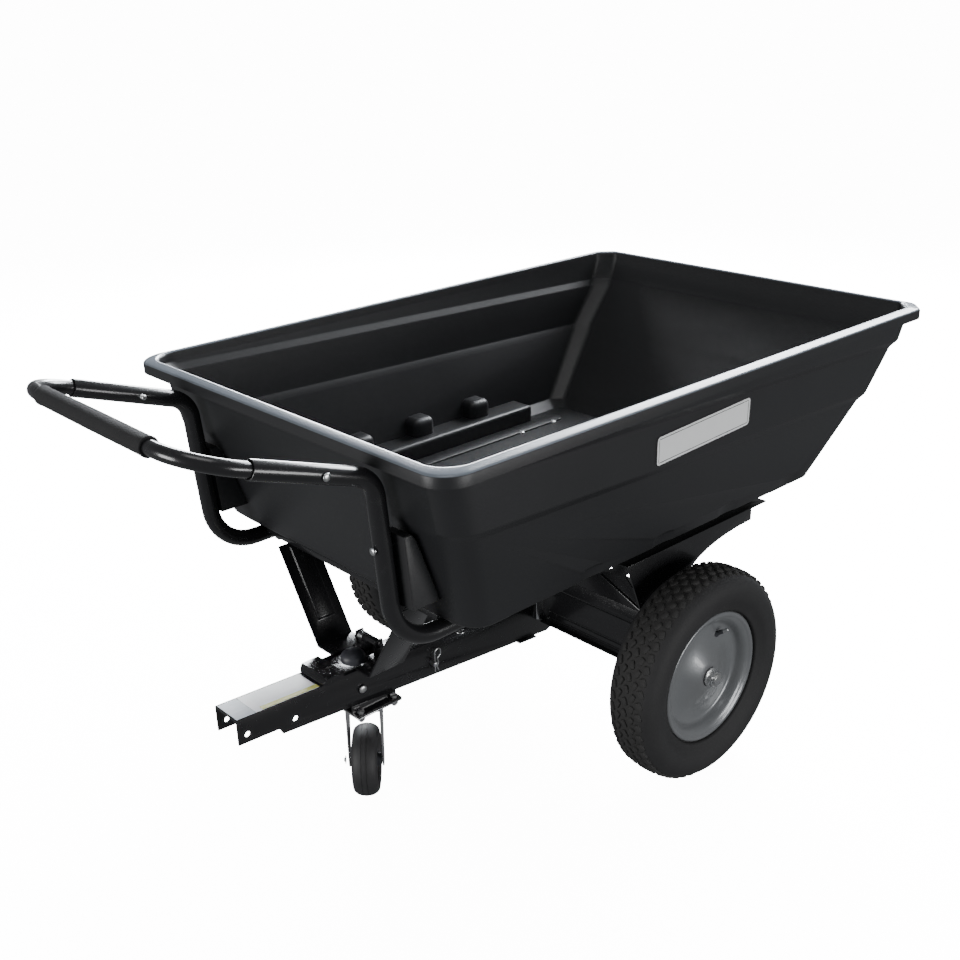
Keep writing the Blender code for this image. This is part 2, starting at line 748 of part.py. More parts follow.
def make_caster_fork():
    pivot = (CASTER_X, 0.0, CASTER_RADIUS)
    inner = bore(KING_RADIUS, HUB_SIDES, TURN_GAP)
    race = bmesh.new()
    top = race_low() + RACE_HEIGHT
    profile = [(0.0, inner), (0.0, RACE_RADIUS * 0.8), (RACE_HEIGHT * 0.5, RACE_RADIUS),
               (RACE_HEIGHT - GAP, RACE_RADIUS), (RACE_HEIGHT - GAP, inner)]
    add_turned(race, (CASTER_X, 0, top), (0, 0, -1), profile, HUB_SIDES, closed=True)
    finish("swivel_race", race, zinc(), pivot)

    # The fork's side outline, in its rolling direction and height.
    crown = race_low()
    foot = CASTER_RADIUS
    outline = [(FORK_TOP_HALF, crown), (-FORK_TOP_HALF, crown), (-FORK_TOP_HALF, crown - 0.018)]
    for step in range(7):
        angle = radians(180.0 + 30.0 * step)
        outline.append((CASTER_TRAIL + cos(angle) * FORK_FOOT_RADIUS, foot + sin(angle) * FORK_FOOT_RADIUS))
    outline.append((FORK_TOP_HALF, crown - 0.030))
    outer = FORK_INNER + FORK_SHEET
    bm = bmesh.new()
    add_loft(bm, [[caster_point(along, across, z) for along, z in outline] for across in (-outer, outer)])
    fork = finish("caster_fork", bm, zinc(), pivot)
    space = bmesh.new()
    corners = [(-0.06, 0.02), (0.06, 0.02), (0.06, crown - FORK_SHEET), (-0.06, crown - FORK_SHEET)]
    add_loft(space, [[caster_point(along, across, z) for along, z in corners]
                     for across in (-FORK_INNER, FORK_INNER)])
    boolean(fork, space, "DIFFERENCE", "caster_fork_space")
    holes = bmesh.new()
    add_cylinder(holes, (CASTER_X, 0, crown - 3 * FORK_SHEET), (CASTER_X, 0, crown + FORK_SHEET),
                 bore(KING_RADIUS, HUB_SIDES, TURN_GAP), HUB_SIDES)
    add_cylinder(holes, caster_point(CASTER_TRAIL, -2 * outer, foot),
                 caster_point(CASTER_TRAIL, 2 * outer, foot), bore(CASTER_AXLE_RADIUS))
    boolean(fork, holes, "DIFFERENCE", "caster_fork_holes")

    axle = bmesh.new()
    add_bolt(axle, caster_point(CASTER_TRAIL, -outer, foot), caster_point(CASTER_TRAIL, outer, foot),
             CASTER_AXLE_RADIUS)
    finish("caster_axle_bolt", axle, zinc(), pivot)


def make_caster_wheel():
    centre = caster_point(CASTER_TRAIL, 0.0, CASTER_RADIUS)
    direction = caster_axle_direction()
    half = CASTER_WIDTH / 2
    inner = bore(CASTER_AXLE_RADIUS, CASTER_SIDES, TURN_GAP)
    tread = bmesh.new()
    profile = [(-half * 0.72, CASTER_HUB_RADIUS + GAP), (half * 0.72, CASTER_HUB_RADIUS + GAP),
               (half, CASTER_RADIUS * 0.80), (half * 0.86, CASTER_RADIUS * 0.92),
               (half * 0.45, CASTER_RADIUS * 0.99), (0.0, CASTER_RADIUS), (-half * 0.45, CASTER_RADIUS * 0.99),
               (-half * 0.86, CASTER_RADIUS * 0.92), (-half, CASTER_RADIUS * 0.80)]
    add_turned(tread, centre, direction, profile, CASTER_SIDES, closed=True)
    finish("caster_tyre", tread, tyre_rubber(), centre)

    hub = bmesh.new()
    collar = CASTER_AXLE_RADIUS * 2.4
    profile = [(-CASTER_HUB_HALF, inner), (CASTER_HUB_HALF, inner), (CASTER_HUB_HALF, collar),
               (half * 0.55, collar * 1.2), (half * 0.55, CASTER_HUB_RADIUS * 0.82),
               (half * 0.72, CASTER_HUB_RADIUS), (-half * 0.72, CASTER_HUB_RADIUS),
               (-half * 0.55, CASTER_HUB_RADIUS * 0.82), (-half * 0.55, collar * 1.2),
               (-CASTER_HUB_HALF, collar)]
    add_turned(hub, centre, direction, profile, CASTER_SIDES, closed=True)
    finish("caster_hub", hub, black_plastic(), centre)


def tub_levels():
    """Outer wall sizes from the lip's root down: z, half width, front, rear, front and rear corners."""
    z = RIM_TOP_Z - LIP_DROP + LIP_THICKNESS
    half = RIM_HALF_WIDTH - LIP_REACH
    front = RIM_FRONT_X + LIP_REACH
    rear = RIM_REAR_X - LIP_REACH
    floor_top = FLOOR_Z + FOOT_HEIGHT
    wall_height = z - floor_top
    levels = [(z, half, front, rear)]

    def drop(to_z, slopes):
        last_z, last_half, last_front, last_rear = levels[-1]
        fall = last_z - to_z
        levels.append((to_z, last_half - fall * slopes[0], last_front + fall * slopes[1],
                       last_rear - fall * slopes[2]))

    def step():
        last_z, last_half, last_front, last_rear = levels[-1]
        levels.append((last_z - LEDGE_HEIGHT, last_half - SIDE_LEDGE, last_front + FRONT_LEDGE,
                       last_rear - REAR_LEDGE))

    drop(UPPER_LEDGE_Z + LEDGE_HEIGHT / 2, TOP_BAND_SLOPES)
    step()
    drop(LOWER_LEDGE_Z + LEDGE_HEIGHT / 2, MIDDLE_BAND_SLOPES)
    step()
    drop(floor_top, LOWER_BAND_SLOPES)
    last_z, last_half, last_front, last_rear = levels[-1]
    levels.append((FLOOR_Z, last_half - SIDE_FOOT, last_front + FRONT_FOOT, last_rear - REAR_FOOT))
    rim_corner = RIM_CORNER - LIP_REACH
    shares = [min(1.0, (level[0] - FLOOR_Z) / wall_height) for level in levels]
    corners = [(FLOOR_CORNER + (rim_corner - FLOOR_CORNER) * share,
                REAR_FLOOR_CORNER + (REAR_WALL_CORNER - REAR_FLOOR_CORNER) * share) for share in shares]
    return [(*level, *pair) for level, pair in zip(levels, corners)]


def rounded_ring(z, half, front, rear, corner, rear_corner):
    """A rounded rectangle at a height, anticlockwise."""
    ring = []
    centres = [(rear - rear_corner, half - rear_corner, 0.0, rear_corner),
               (front + corner, half - corner, 90.0, corner),
               (front + corner, -half + corner, 180.0, corner),
               (rear - rear_corner, -half + rear_corner, 270.0, rear_corner)]
    for centre_x, centre_y, start, radius in centres:
        for step in range(CORNER_STEPS + 1):
            angle = radians(start + 90.0 * step / CORNER_STEPS)
            ring.append((centre_x + cos(angle) * radius, centre_y + sin(angle) * radius, z))
    return ring


def grown_ring(z, inset):
    """A ring of the rim, drawn in from its outer edge."""
    return rounded_ring(z, RIM_HALF_WIDTH - inset, RIM_FRONT_X + inset, RIM_REAR_X - inset,
                        RIM_CORNER - inset, REAR_RIM_CORNER - inset)


def tub_outer_rings():
    wall = [rounded_ring(*level) for level in reversed(tub_levels())]
    lip_bottom = RIM_TOP_Z - LIP_DROP
    return wall + [grown_ring(lip_bottom + LIP_THICKNESS, LIP_THICKNESS),
                   grown_ring(lip_bottom, LIP_THICKNESS), grown_ring(lip_bottom, 0.0),
                   grown_ring(RIM_TOP_Z - CREST_CHAMFER, 0.0), grown_ring(RIM_TOP_Z, CREST_CHAMFER)]


def tub_inner_rings():
    """The cavity, one wall inside the outer shape and open above the rim."""
    def inside(half, front, rear, corner, rear_corner):
        return (half - TUB_WALL, front + TUB_WALL, rear - TUB_WALL * REAR_WALL_FACTOR, corner - TUB_WALL,
                rear_corner - TUB_WALL)

    rings = []
    for z, *sizes in reversed(tub_levels()):
        lift = TUB_WALL if z < FLOOR_Z + FOOT_HEIGHT / 2 else TUB_WALL * 0.4
        rings.append(rounded_ring(z + lift, *inside(*sizes)))
    z, *sizes = tub_levels()[0]
    rings.append(rounded_ring(RIM_TOP_Z + LIP_DROP, *inside(*sizes)))
    return rings


def pad_stations():
    return [PAD_FIRST_X + PAD_PITCH * index for index in range(PAD_COUNT)]


def bench_box(bm, side, wall, low):
    """The space under one bench; with a wall it is the block that stands in the cavity."""
    outer = RIM_HALF_WIDTH
    inner = BENCH_INNER_Y - wall
    ends = sorted((side * inner, side * outer))
    add_box(bm, (BENCH_FRONT_X - wall, ends[0], low),
            (BENCH_REAR_X + wall, ends[1], FLOOR_Z + BENCH_RISE + wall))


def pad_box(bm, side, station, wall, low):
    ends = sorted((side * (PAD_INNER_Y - wall), side * RIM_HALF_WIDTH))
    half = PAD_WIDTH / 2 + wall
    top = FLOOR_Z + BENCH_RISE + PAD_RISE + wall
    add_box(bm, (station - half, ends[0], low), (station + half, ends[1], top))


def make_tub():
    bm = bmesh.new()
    add_loft(bm, tub_outer_rings())
    tub = finish("tub", bm, tub_plastic(), tip_pivot(), sharp=50.0)

    bosses = bmesh.new()
    for _, side in SIDES:
        centre = side * (TUBE_Y + BOSS_OFFSET)
        back = tub_levels()[3][2] + 2 * TUB_WALL
        slant = atan2(LEG_FOOT_X - LEG_TOP_X, LEG_TOP_Z - RUN_Z)
        reach = (TUBE_RADIUS + GAP) / cos(slant)
        outline = [(leg_x(BOSS_HIGH_Z) + reach, BOSS_HIGH_Z), (leg_x(BOSS_LOW_Z) + reach, BOSS_LOW_Z),
                   (back + BOSS_WIDTH, BOSS_LOW_Z), (back + BOSS_WIDTH, BOSS_HIGH_Z)]
        add_prism(bosses, outline, "Y", centre - BOSS_WIDTH / 2, centre + BOSS_WIDTH / 2)
    boolean(tub, bosses, "UNION", "tub_bosses")

    below = FLOOR_Z - BENCH_RISE
    benches = bmesh.new()
    pads = bmesh.new()
    for _, side in SIDES:
        bench_box(benches, side, 0.0, below)
        for station in pad_stations():
            pad_box(pads, side, station, 0.0, below)
    boolean(tub, benches, "DIFFERENCE", "tub_bench_recesses")
    boolean(tub, pads, "DIFFERENCE", "tub_pad_recesses")

    space = bmesh.new()
    add_loft(space, tub_inner_rings())
    cavity = boolean(tub, space, "DIFFERENCE", "tub_cavity")
    inner_benches = bmesh.new()
    inner_pads = bmesh.new()
    for _, side in SIDES:
        bench_box(inner_benches, side, TUB_WALL, below)
        for station in pad_stations():
            pad_box(inner_pads, side, station, TUB_WALL, below)
    boolean(cavity, inner_benches, "DIFFERENCE", "tub_bench_blocks")
    boolean(cavity, inner_pads, "DIFFERENCE", "tub_pad_blocks")

    holes = bmesh.new()
    for x, y in floor_bolt_places():
        add_cylinder(holes, (x, y, FLOOR_Z - TUB_WALL), (x, y, FLOOR_Z + 3 * TUB_WALL), bore(BOLT_RADIUS))
    for x, y in member_bolt_places():
        add_cylinder(holes, (x, y, FLOOR_Z - TUB_WALL), (x, y, FLOOR_Z + 3 * TUB_WALL), bore(BOLT_RADIUS))
    for _, side in SIDES:
        start = leg_x(LEG_BOLT_Z) - 2 * TUBE_RADIUS
        end = leg_nut_face() + TUB_WALL
        add_cylinder(holes, (start, side * TUBE_Y, LEG_BOLT_Z), (end, side * TUBE_Y, LEG_BOLT_Z),
                     bore(BOLT_RADIUS))
    boolean(tub, holes, "DIFFERENCE", "tub_bolt_holes")


def leg_nut_face():
    """Inside face of the front wall where the leg bolts come through, at the nut's lower edge."""
    levels = tub_levels()
    upper, lower = levels[4], levels[5]
    low_z = LEG_BOLT_Z - BOLT_HEAD_RADIUS
    share = (upper[0] - low_z) / (upper[0] - lower[0])
    return upper[2] + (lower[2] - upper[2]) * share + TUB_WALL * 1.5


def floor_bolt_places():
    return [(x, side * TUBE_Y) for x in FLOOR_BOLT_X for _, side in SIDES]


def floor_bolt_ends():
    return [end for end in ("front", "middle", "rear") for _ in SIDES]


def member_bolt_places():
    x = (MEMBER_FRONT_X + MEMBER_REAR_X) / 2
    return [(x, side * MEMBER_BOLT_Y) for _, side in SIDES]


def tip_pivot():
    return (0.0, 0.0, AXLE_Z)


def side_tube_points(y):
    return [(SOCKET_X, y, SOCKET_Z), (LEG_TOP_X, y, LEG_TOP_Z), (LEG_FOOT_X, y, RUN_Z),
            (TUBE_REAR_X, y, RUN_Z)]


def make_side_tubes():
    reach = 2 * TUBE_RADIUS
    for word, side in SIDES:
        y = side * TUBE_Y
        path = rounded_path(side_tube_points(y), (LEG_TOP_BEND, LEG_FOOT_BEND))
        bm = bmesh.new()
        add_tube(bm, path, TUBE_RADIUS)
        tube = finish("side_tube_" + word, bm, black_steel(), tip_pivot())
        core = bmesh.new()
        path[0] += (path[0] - path[1]).normalized() * reach
        path[-1] += (path[-1] - path[-2]).normalized() * reach
        add_tube(core, path, tube_bore())
        boolean(tube, core, "DIFFERENCE", "side_tube_bore_" + word)
        holes = bmesh.new()
        for x in FLOOR_BOLT_X:
            add_cylinder(holes, (x, y, RUN_Z - reach), (x, y, RUN_Z + reach), bore(BOLT_RADIUS))
        leg = leg_x(LEG_BOLT_Z)
        add_cylinder(holes, (leg - reach, y, LEG_BOLT_Z), (leg + reach, y, LEG_BOLT_Z), bore(BOLT_RADIUS))
        z = handle_bolt_z()
        add_cylinder(holes, (HANDLE_BOLT_X, y - reach, z), (HANDLE_BOLT_X, y + reach, z), bore(BOLT_RADIUS))
        boolean(tube, holes, "DIFFERENCE", "side_tube_holes_" + word)


def tube_bore():
    """Inside radius of the side tubes, a sliding fit on the handle bar."""
    return bore(BAR_RADIUS, TUBE_SIDES)


def handle_bolt_z():
    share = (HANDLE_BOLT_X - SOCKET_X) / (LEG_TOP_X - SOCKET_X)
    return SOCKET_Z + (LEG_TOP_Z - SOCKET_Z) * share


def make_handle():
    slope = (SOCKET_Z - LEG_TOP_Z) / (LEG_TOP_X - SOCKET_X)
    inward = Vector((1.0, 0.0, -slope)).normalized() * HANDLE_INSERT
    far = Vector((SOCKET_X, TUBE_Y, SOCKET_Z)) + inward
    near = Vector((far.x, -far.y, far.z))
    grip_z = SOCKET_Z + (SOCKET_X - GRIP_X) * slope
    points = [far, (GRIP_X, TUBE_Y, grip_z), (GRIP_X, -TUBE_Y, grip_z), near]
    bm = bmesh.new()
    add_tube(bm, rounded_path(points, (BAR_BEND, BAR_BEND)), BAR_RADIUS)
    bar = finish("handle_bar", bm, black_steel(), tip_pivot())
    z = handle_bolt_z()
    holes = bmesh.new()
    for _, side in SIDES:
        add_cylinder(holes, (HANDLE_BOLT_X, side * (TUBE_Y - TUBE_RADIUS), z),
                     (HANDLE_BOLT_X, side * (TUBE_Y + TUBE_RADIUS), z), bore(BOLT_RADIUS))
    boolean(bar, holes, "DIFFERENCE", "handle_bar_holes")

    foam = bmesh.new()
    half = FOAM_LENGTH / 2
    inner = bore(BAR_RADIUS, HUB_SIDES)
    profile = [(-half, inner), (half, inner), (half, FOAM_RADIUS), (-half, FOAM_RADIUS)]
    add_turned(foam, (GRIP_X, 0, grip_z), (0, 1, 0), profile, HUB_SIDES, closed=True)
    finish("foam_grip", foam, grip_foam(), tip_pivot())

    for word, side in SIDES:
        outer = side * (TUBE_Y + TUBE_RADIUS)
        inner_face = side * (TUBE_Y - TUBE_RADIUS)
        bolt = bmesh.new()
        add_bolt(bolt, (HANDLE_BOLT_X, outer, z), (HANDLE_BOLT_X, inner_face, z), head=FRAME_BOLT_HEAD)
        finish("handle_bolt_" + word, bolt, zinc(), tip_pivot())


def make_frame_bolts():
    for (x, y), end in zip(floor_bolt_places(), floor_bolt_ends()):
        under = SHELF_TOP_Z - PLATE_SHEET if x > SHELF_FRONT_X else RUN_Z - TUBE_RADIUS
        bolt = bmesh.new()
        add_bolt(bolt, (x, y, FLOOR_Z + TUB_WALL), (x, y, under), domed=True)
        finish("floor_bolt_" + end + "_" + side_word(y), bolt, zinc(), tip_pivot())

    for x, y in member_bolt_places():
        bolt = bmesh.new()
        add_bolt(bolt, (x, y, FLOOR_Z + TUB_WALL), (x, y, FLOOR_Z - GAP - MEMBER_SHEET), domed=True)
        finish("cross_member_bolt_" + side_word(y), bolt, zinc(), tip_pivot())

    tilt = FRAME_BOLT_HEAD * (LEG_FOOT_X - LEG_TOP_X) / (LEG_TOP_Z - RUN_Z)
    face = leg_x(LEG_BOLT_Z) - TUBE_RADIUS - tilt
    for word, side in SIDES:
        y = side * TUBE_Y
        bolt = bmesh.new()
        add_bolt(bolt, (face, y, LEG_BOLT_Z), (leg_nut_face(), y, LEG_BOLT_Z), head=FRAME_BOLT_HEAD)
        finish("leg_bolt_" + word, bolt, zinc(), tip_pivot())


def make_cross_member():
    top = FLOOR_Z - GAP
    deck = top - MEMBER_SHEET
    low = top - MEMBER_FLANGE
    front, rear, sheet = MEMBER_FRONT_X, MEMBER_REAR_X, MEMBER_SHEET
    outline = [(front, low), (front + sheet, low), (front + sheet, deck), (rear - sheet, deck),
               (rear - sheet, low), (rear, low), (rear, top), (front, top)]
    reach = TUBE_Y - TUBE_RADIUS - GAP
    bm = bmesh.new()
    add_prism(bm, outline, "Y", -reach, reach)
    member = finish("front_cross_member", bm, black_steel(), tip_pivot())
    holes = bmesh.new()
    for x, y in member_bolt_places():
        add_cylinder(holes, (x, y, deck - sheet), (x, y, top + sheet), bore(BOLT_RADIUS))
    boolean(member, holes, "DIFFERENCE", "cross_member_holes")


def strip_outline(path, sheet):
    """Outline of a bent sheet strip over a path: mitred bends and a level cut at the head."""
    upper = []
    for index, point in enumerate(path):
        before = Vector(path[max(index - 1, 0)])
        after = Vector(path[min(index + 1, len(path) - 1)])
        here = Vector(point)
        incoming = (here - before).normalized() if index else (after - here).normalized()
        outgoing = (after - here).normalized() if index < len(path) - 1 else incoming
        tangent = (incoming + outgoing).normalized()
        normal = Vector((-tangent.y, tangent.x))
        upper.append(here + normal * sheet / tangent.dot(incoming))
    upper[-1] = Vector(path[-1]) + Vector((sheet / normal.x, 0.0))
    return [tuple(point) for point in path] + [tuple(point) for point in reversed(upper)]


def strut_path():
    """Section of the far strut: foot tab, bend, then the straight up to the cross member."""
    foot_z = SADDLE_TOP_Z + GAP
    head_z = FLOOR_Z - GAP - MEMBER_FLANGE - GAP
    return [(STRUT_TAB_Y, foot_z), (STRUT_FOOT_Y, foot_z), (STRUT_HEAD_Y, head_z)]


def make_struts():
    path = strut_path()
    for word, side in SIDES:
        outline = [(side * y, z) for y, z in strip_outline(path, STRUT_SHEET)]
        bm = bmesh.new()
        add_prism(bm, outline, "X", STRUT_FRONT_X, STRUT_REAR_X)
        strut = finish("strut_" + word, bm, black_steel(), tip_pivot())

        # A pressed bead stands out of the upper face.
        foot, head = Vector(path[1]), Vector(path[2])
        run = head - foot
        normal = Vector((-run.y, run.x)).normalized()
        low = foot + run * BEAD_START_SHARE + normal * STRUT_SHEET * 0.5
        high = foot + run * BEAD_END_SHARE + normal * STRUT_SHEET * 0.5
        rise = normal * (BEAD_RISE + STRUT_SHEET * 0.5)
        taper = run.normalized() * BEAD_RISE
        section = [low, high, high + rise - taper, low + rise + taper]
        middle = (STRUT_FRONT_X + STRUT_REAR_X) / 2
        bead = bmesh.new()
        corners = [(side * point.x, point.y) for point in section]
        add_prism(bead, corners, "X", middle - BEAD_HALF_WIDTH, middle + BEAD_HALF_WIDTH)
        boolean(strut, bead, "UNION", "strut_bead_" + word)


def make_saddle():
    """Foot of the strut frame: a wedge on the drawbar, a front block and two ears for the latch."""
    bm = bmesh.new()
    rings = []
    block_top = SADDLE_TOP_Z + BLOCK_RISE
    stations = [(SADDLE_FRONT_X, SADDLE_TOP_Z), (SADDLE_FRONT_X + BLOCK_RISE, block_top),
                (BLOCK_REAR_X, block_top), (BLOCK_REAR_X + GAP, SADDLE_TOP_Z), (SADDLE_REAR_X, SADDLE_TOP_Z)]
    for x, top in stations:
        low = bar_top(x) + GAP
        rings.append([(x, -SADDLE_HALF_WIDTH, low), (x, SADDLE_HALF_WIDTH, low),
                      (x, SADDLE_HALF_WIDTH, top), (x, -SADDLE_HALF_WIDTH, top)])
    add_loft(bm, rings)
    saddle = finish("saddle", bm, black_steel(), tip_pivot())
    ears = bmesh.new()
    ear_top = LATCH_Z + EAR_HALF_LENGTH * 0.8
    for _, side in SIDES:
        ends = sorted((side * EAR_Y, side * (EAR_Y + EAR_SHEET)))
        outline = [(LATCH_X - EAR_HALF_LENGTH, SADDLE_TOP_Z - EAR_SHEET),
                   (LATCH_X + EAR_HALF_LENGTH, SADDLE_TOP_Z - EAR_SHEET),
                   (LATCH_X + EAR_HALF_LENGTH * 0.7, ear_top), (LATCH_X - EAR_HALF_LENGTH * 0.7, ear_top)]
        add_prism(ears, outline, "Y", ends[0], ends[1])
    boolean(saddle, ears, "UNION", "saddle_ears")
    cuts = bmesh.new()
    add_box(cuts, (SLOT_FRONT_X, -SADDLE_SLOT_HALF_WIDTH, bar_top(SLOT_REAR_X) - BAR_SHEET),
            (SLOT_REAR_X, SADDLE_SLOT_HALF_WIDTH, SADDLE_TOP_Z + BAR_SHEET))
    reach = EAR_Y + 2 * EAR_SHEET
    add_cylinder(cuts, (LATCH_X, -reach, LATCH_Z), (LATCH_X, reach, LATCH_Z), bore(LATCH_PIN_RADIUS))
    boolean(saddle, cuts, "DIFFERENCE", "saddle_cuts")

    pin = bmesh.new()
    outer = EAR_Y + EAR_SHEET + GAP
    head = LATCH_PIN_RADIUS * 1.5
    rivet = LATCH_PIN_RADIUS * 0.5
    profile = [(-outer - rivet, head), (-outer, head), (-outer, LATCH_PIN_RADIUS), (outer, LATCH_PIN_RADIUS),
               (outer, head), (outer + rivet, head)]
    add_turned(pin, (LATCH_X, 0, LATCH_Z), (0, 1, 0), profile, BOLT_SIDES)
    finish("latch_pin", pin, zinc(), tip_pivot())


def latch_pivot():
    return (LATCH_X, 0.0, LATCH_Z)


def make_latch():
    """Pedal lever: a barrel on the pin, an arm to the foot pad and a hook down to the catch bolt."""
    pivot = latch_pivot()
    reach = EAR_Y - GAP
    spring_start = ARM_Y[1] + LEVER_HALF_WIDTH * 5
    bm = bmesh.new()
    inner = bore(LATCH_PIN_RADIUS, HUB_SIDES, TURN_GAP)
    slim = inner + (BARREL_RADIUS - inner) * 0.5
    profile = [(-reach, inner), (reach, inner), (reach, slim), (spring_start, slim),
               (spring_start, BARREL_RADIUS), (-reach, BARREL_RADIUS)]
    add_turned(bm, pivot, (0, 1, 0), profile, HUB_SIDES, closed=True)
    lever = finish("latch_lever", bm, black_steel(), pivot)

    # The hook's nose stops just behind the catch bolt.
    nose_x = CATCH_X + CATCH_RADIUS + HOOK_NOSE
    back_x = nose_x + 3 * CATCH_RADIUS
    hook = [(LATCH_X - BARREL_RADIUS * 0.75, LATCH_Z - BARREL_RADIUS * 0.3),
            (nose_x, CATCH_Z + 3 * CATCH_RADIUS), (nose_x, CATCH_Z - 2 * CATCH_RADIUS),
            (back_x, CATCH_Z - 3 * CATCH_RADIUS), (back_x, CATCH_Z + 2 * CATCH_RADIUS),
            (LATCH_X + BARREL_RADIUS * 0.2, LATCH_Z - BARREL_RADIUS * 0.8)]
    plate = bmesh.new()
    add_prism(plate, hook, "Y", -LEVER_HALF_WIDTH, LEVER_HALF_WIDTH)
    boolean(lever, plate, "UNION", "latch_hook")
    arm = bmesh.new()
    low = PAD_BASE_Z - ARM_HALF_THICKNESS * 2 - GAP
    high = PAD_BASE_Z - GAP
    root_x = LATCH_X - BARREL_RADIUS * 0.8
    tip_x = PAD_X - PAD_RADIUS * 0.5
    outline = [(root_x, LATCH_Z + BARREL_RADIUS * 0.3), (tip_x, high), (tip_x, low),
               (root_x, LATCH_Z - BARREL_RADIUS * 0.5)]
    add_prism(arm, outline, "Y", ARM_Y[0], ARM_Y[1])
    boolean(lever, arm, "UNION", "latch_arm")

    # The pad's sole is level; the arm meets it along its front half.
    pad = bmesh.new()
    profile = [(0.0, PAD_RADIUS * 0.92), (PAD_HEIGHT * 0.12, PAD_RADIUS),
               (PAD_HEIGHT * 0.45, PAD_RADIUS * 0.93), (PAD_HEIGHT * 0.75, PAD_RADIUS * 0.70),
               (PAD_HEIGHT * 0.93, PAD_RADIUS * 0.40), (PAD_HEIGHT, PAD_RADIUS * 0.10)]
    add_turned(pad, (PAD_X, PAD_Y, PAD_BASE_Z), (0, 0, 1), profile, HUB_SIDES)
    pad_obj = finish("pedal_pad", pad, black_plastic(), pivot)
    relief = bmesh.new()
    grown = [(LATCH_X, LATCH_Z + BARREL_RADIUS), (tip_x - GAP, high + GAP), (tip_x - GAP, low - GAP),
             (LATCH_X, LATCH_Z - BARREL_RADIUS)]
    add_prism(relief, grown, "Y", ARM_Y[0] - GAP, ARM_Y[1] + GAP)
    boolean(pad_obj, relief, "DIFFERENCE", "pad_relief")

    # Return spring round the slim end of the barrel, one leg on the saddle side.
    wound = (slim + SPRING_WIRE + GAP) / cos(pi / SPRING_STEPS)
    turns = []
    steps = SPRING_TURNS * SPRING_STEPS
    first = spring_start + SPRING_WIRE + GAP
    pitch = (reach - SPRING_WIRE - GAP - first) / SPRING_TURNS
    for step in range(steps + 1):
        angle = 2 * pi * step / SPRING_STEPS
        along = first + pitch * step / SPRING_STEPS
        turns.append(Vector((LATCH_X + cos(angle) * wound, along, LATCH_Z + sin(angle) * wound)))
    spring = bmesh.new()
    add_tube(spring, turns, SPRING_WIRE, SPRING_SIDES)
    finish("latch_spring", spring, zinc(), tip_pivot())


def beam_notch_top():
    """Top of the beam's notch, above the drawbar."""
    return bar_top(-BEAM_HALF_WIDTH) + SWEEP_GAP + BRACKET_WALL + GAP


def make_axle_beam():
    """Hat section open downwards, notched for the drawbar, with a gusset welded on at each end."""
    half, sheet = BEAM_HALF_WIDTH, BEAM_SHEET
    low, top = BEAM_BOTTOM_Z, BEAM_TOP_Z
    wide = half + BEAM_FLANGE
    outline = [(-wide, low), (-half + sheet, low), (-half + sheet, top - sheet), (half - sheet, top - sheet),
               (half - sheet, low), (wide, low), (wide, low + sheet), (half, low + sheet), (half, top),
               (-half, top), (-half, low + sheet), (-wide, low + sheet)]
    reach = PLATE_Y - GAP
    bm = bmesh.new()
    add_prism(bm, outline, "Y", -reach, reach)
    beam = finish("axle_beam", bm, black_steel(), tip_pivot())
    notch = bmesh.new()
    side = bracket_half_width() + GAP
    add_box(notch, (-2 * wide, -side, low - half), (-half + 2 * sheet, side, beam_notch_top()))
    boolean(beam, notch, "DIFFERENCE", "axle_beam_notch")

    base = top - sheet / 2
    peak = GUSSET_PEAK_Z
    horn = SHELF_TOP_Z - PLATE_SHEET - GAP
    inner = SHELF_INNER_Y
    corners = [(GUSSET_INNER_Y, base), (reach, base), (reach, top + HORN_STEP), (inner + 0.004, peak + 0.006),
               (inner + 0.022, peak + 0.022), (inner + 0.004, horn), (inner - 0.010, horn),
               (inner - 0.026, peak + 0.010), (inner - 0.050, peak), (GUSSET_INNER_Y + 0.030, peak - 0.018)]
    for word, way in SIDES:
        gusset = bmesh.new()
        add_prism(gusset, [(way * y, z) for y, z in corners], "X", -half + GUSSET_SETBACK,
                  -half + GUSSET_SETBACK + GUSSET_SHEET)
        boolean(beam, gusset, "UNION", "gusset_" + word)


def bracket_half_width():
    return BAR_HALF_WIDTH + PIVOT_PLAY + BRACKET_WALL


def make_pivot_bracket():
    """Bridge over the drawbar's tail, inside the beam, that carries the axle on both sides of it."""
    outer = bracket_half_width()
    inner = outer - BRACKET_WALL
    top = beam_notch_top() - GAP
    low = CHEEK_BOTTOM_Z
    deck = top - BRACKET_WALL
    outline = [(-outer, low), (-inner, low), (-inner, deck), (inner, deck), (inner, low), (outer, low),
               (outer, top), (-outer, top)]
    bm = bmesh.new()
    add_prism(bm, outline, "X", CHEEK_FRONT_X, CHEEK_REAR_X)
    bracket = finish("pivot_bracket", bm, zinc(), tip_pivot())
    cuts = bmesh.new()
    add_cylinder(cuts, (0, -2 * outer, AXLE_Z), (0, 2 * outer, AXLE_Z), bore(AXLE_RADIUS, HUB_SIDES),
                 HUB_SIDES)
    boolean(bracket, cuts, "DIFFERENCE", "pivot_bracket_bore")
    corner = bmesh.new()
    slant = [(CHEEK_FRONT_X - outer, low - outer), (CHEEK_SLANT_X, low - outer), (CHEEK_SLANT_X, low),
             (CHEEK_FRONT_X, AXLE_Z), (CHEEK_FRONT_X - outer, AXLE_Z)]
    add_prism(corner, slant, "Y", -2 * outer, 2 * outer)
    boolean(bracket, corner, "DIFFERENCE", "pivot_bracket_slant")


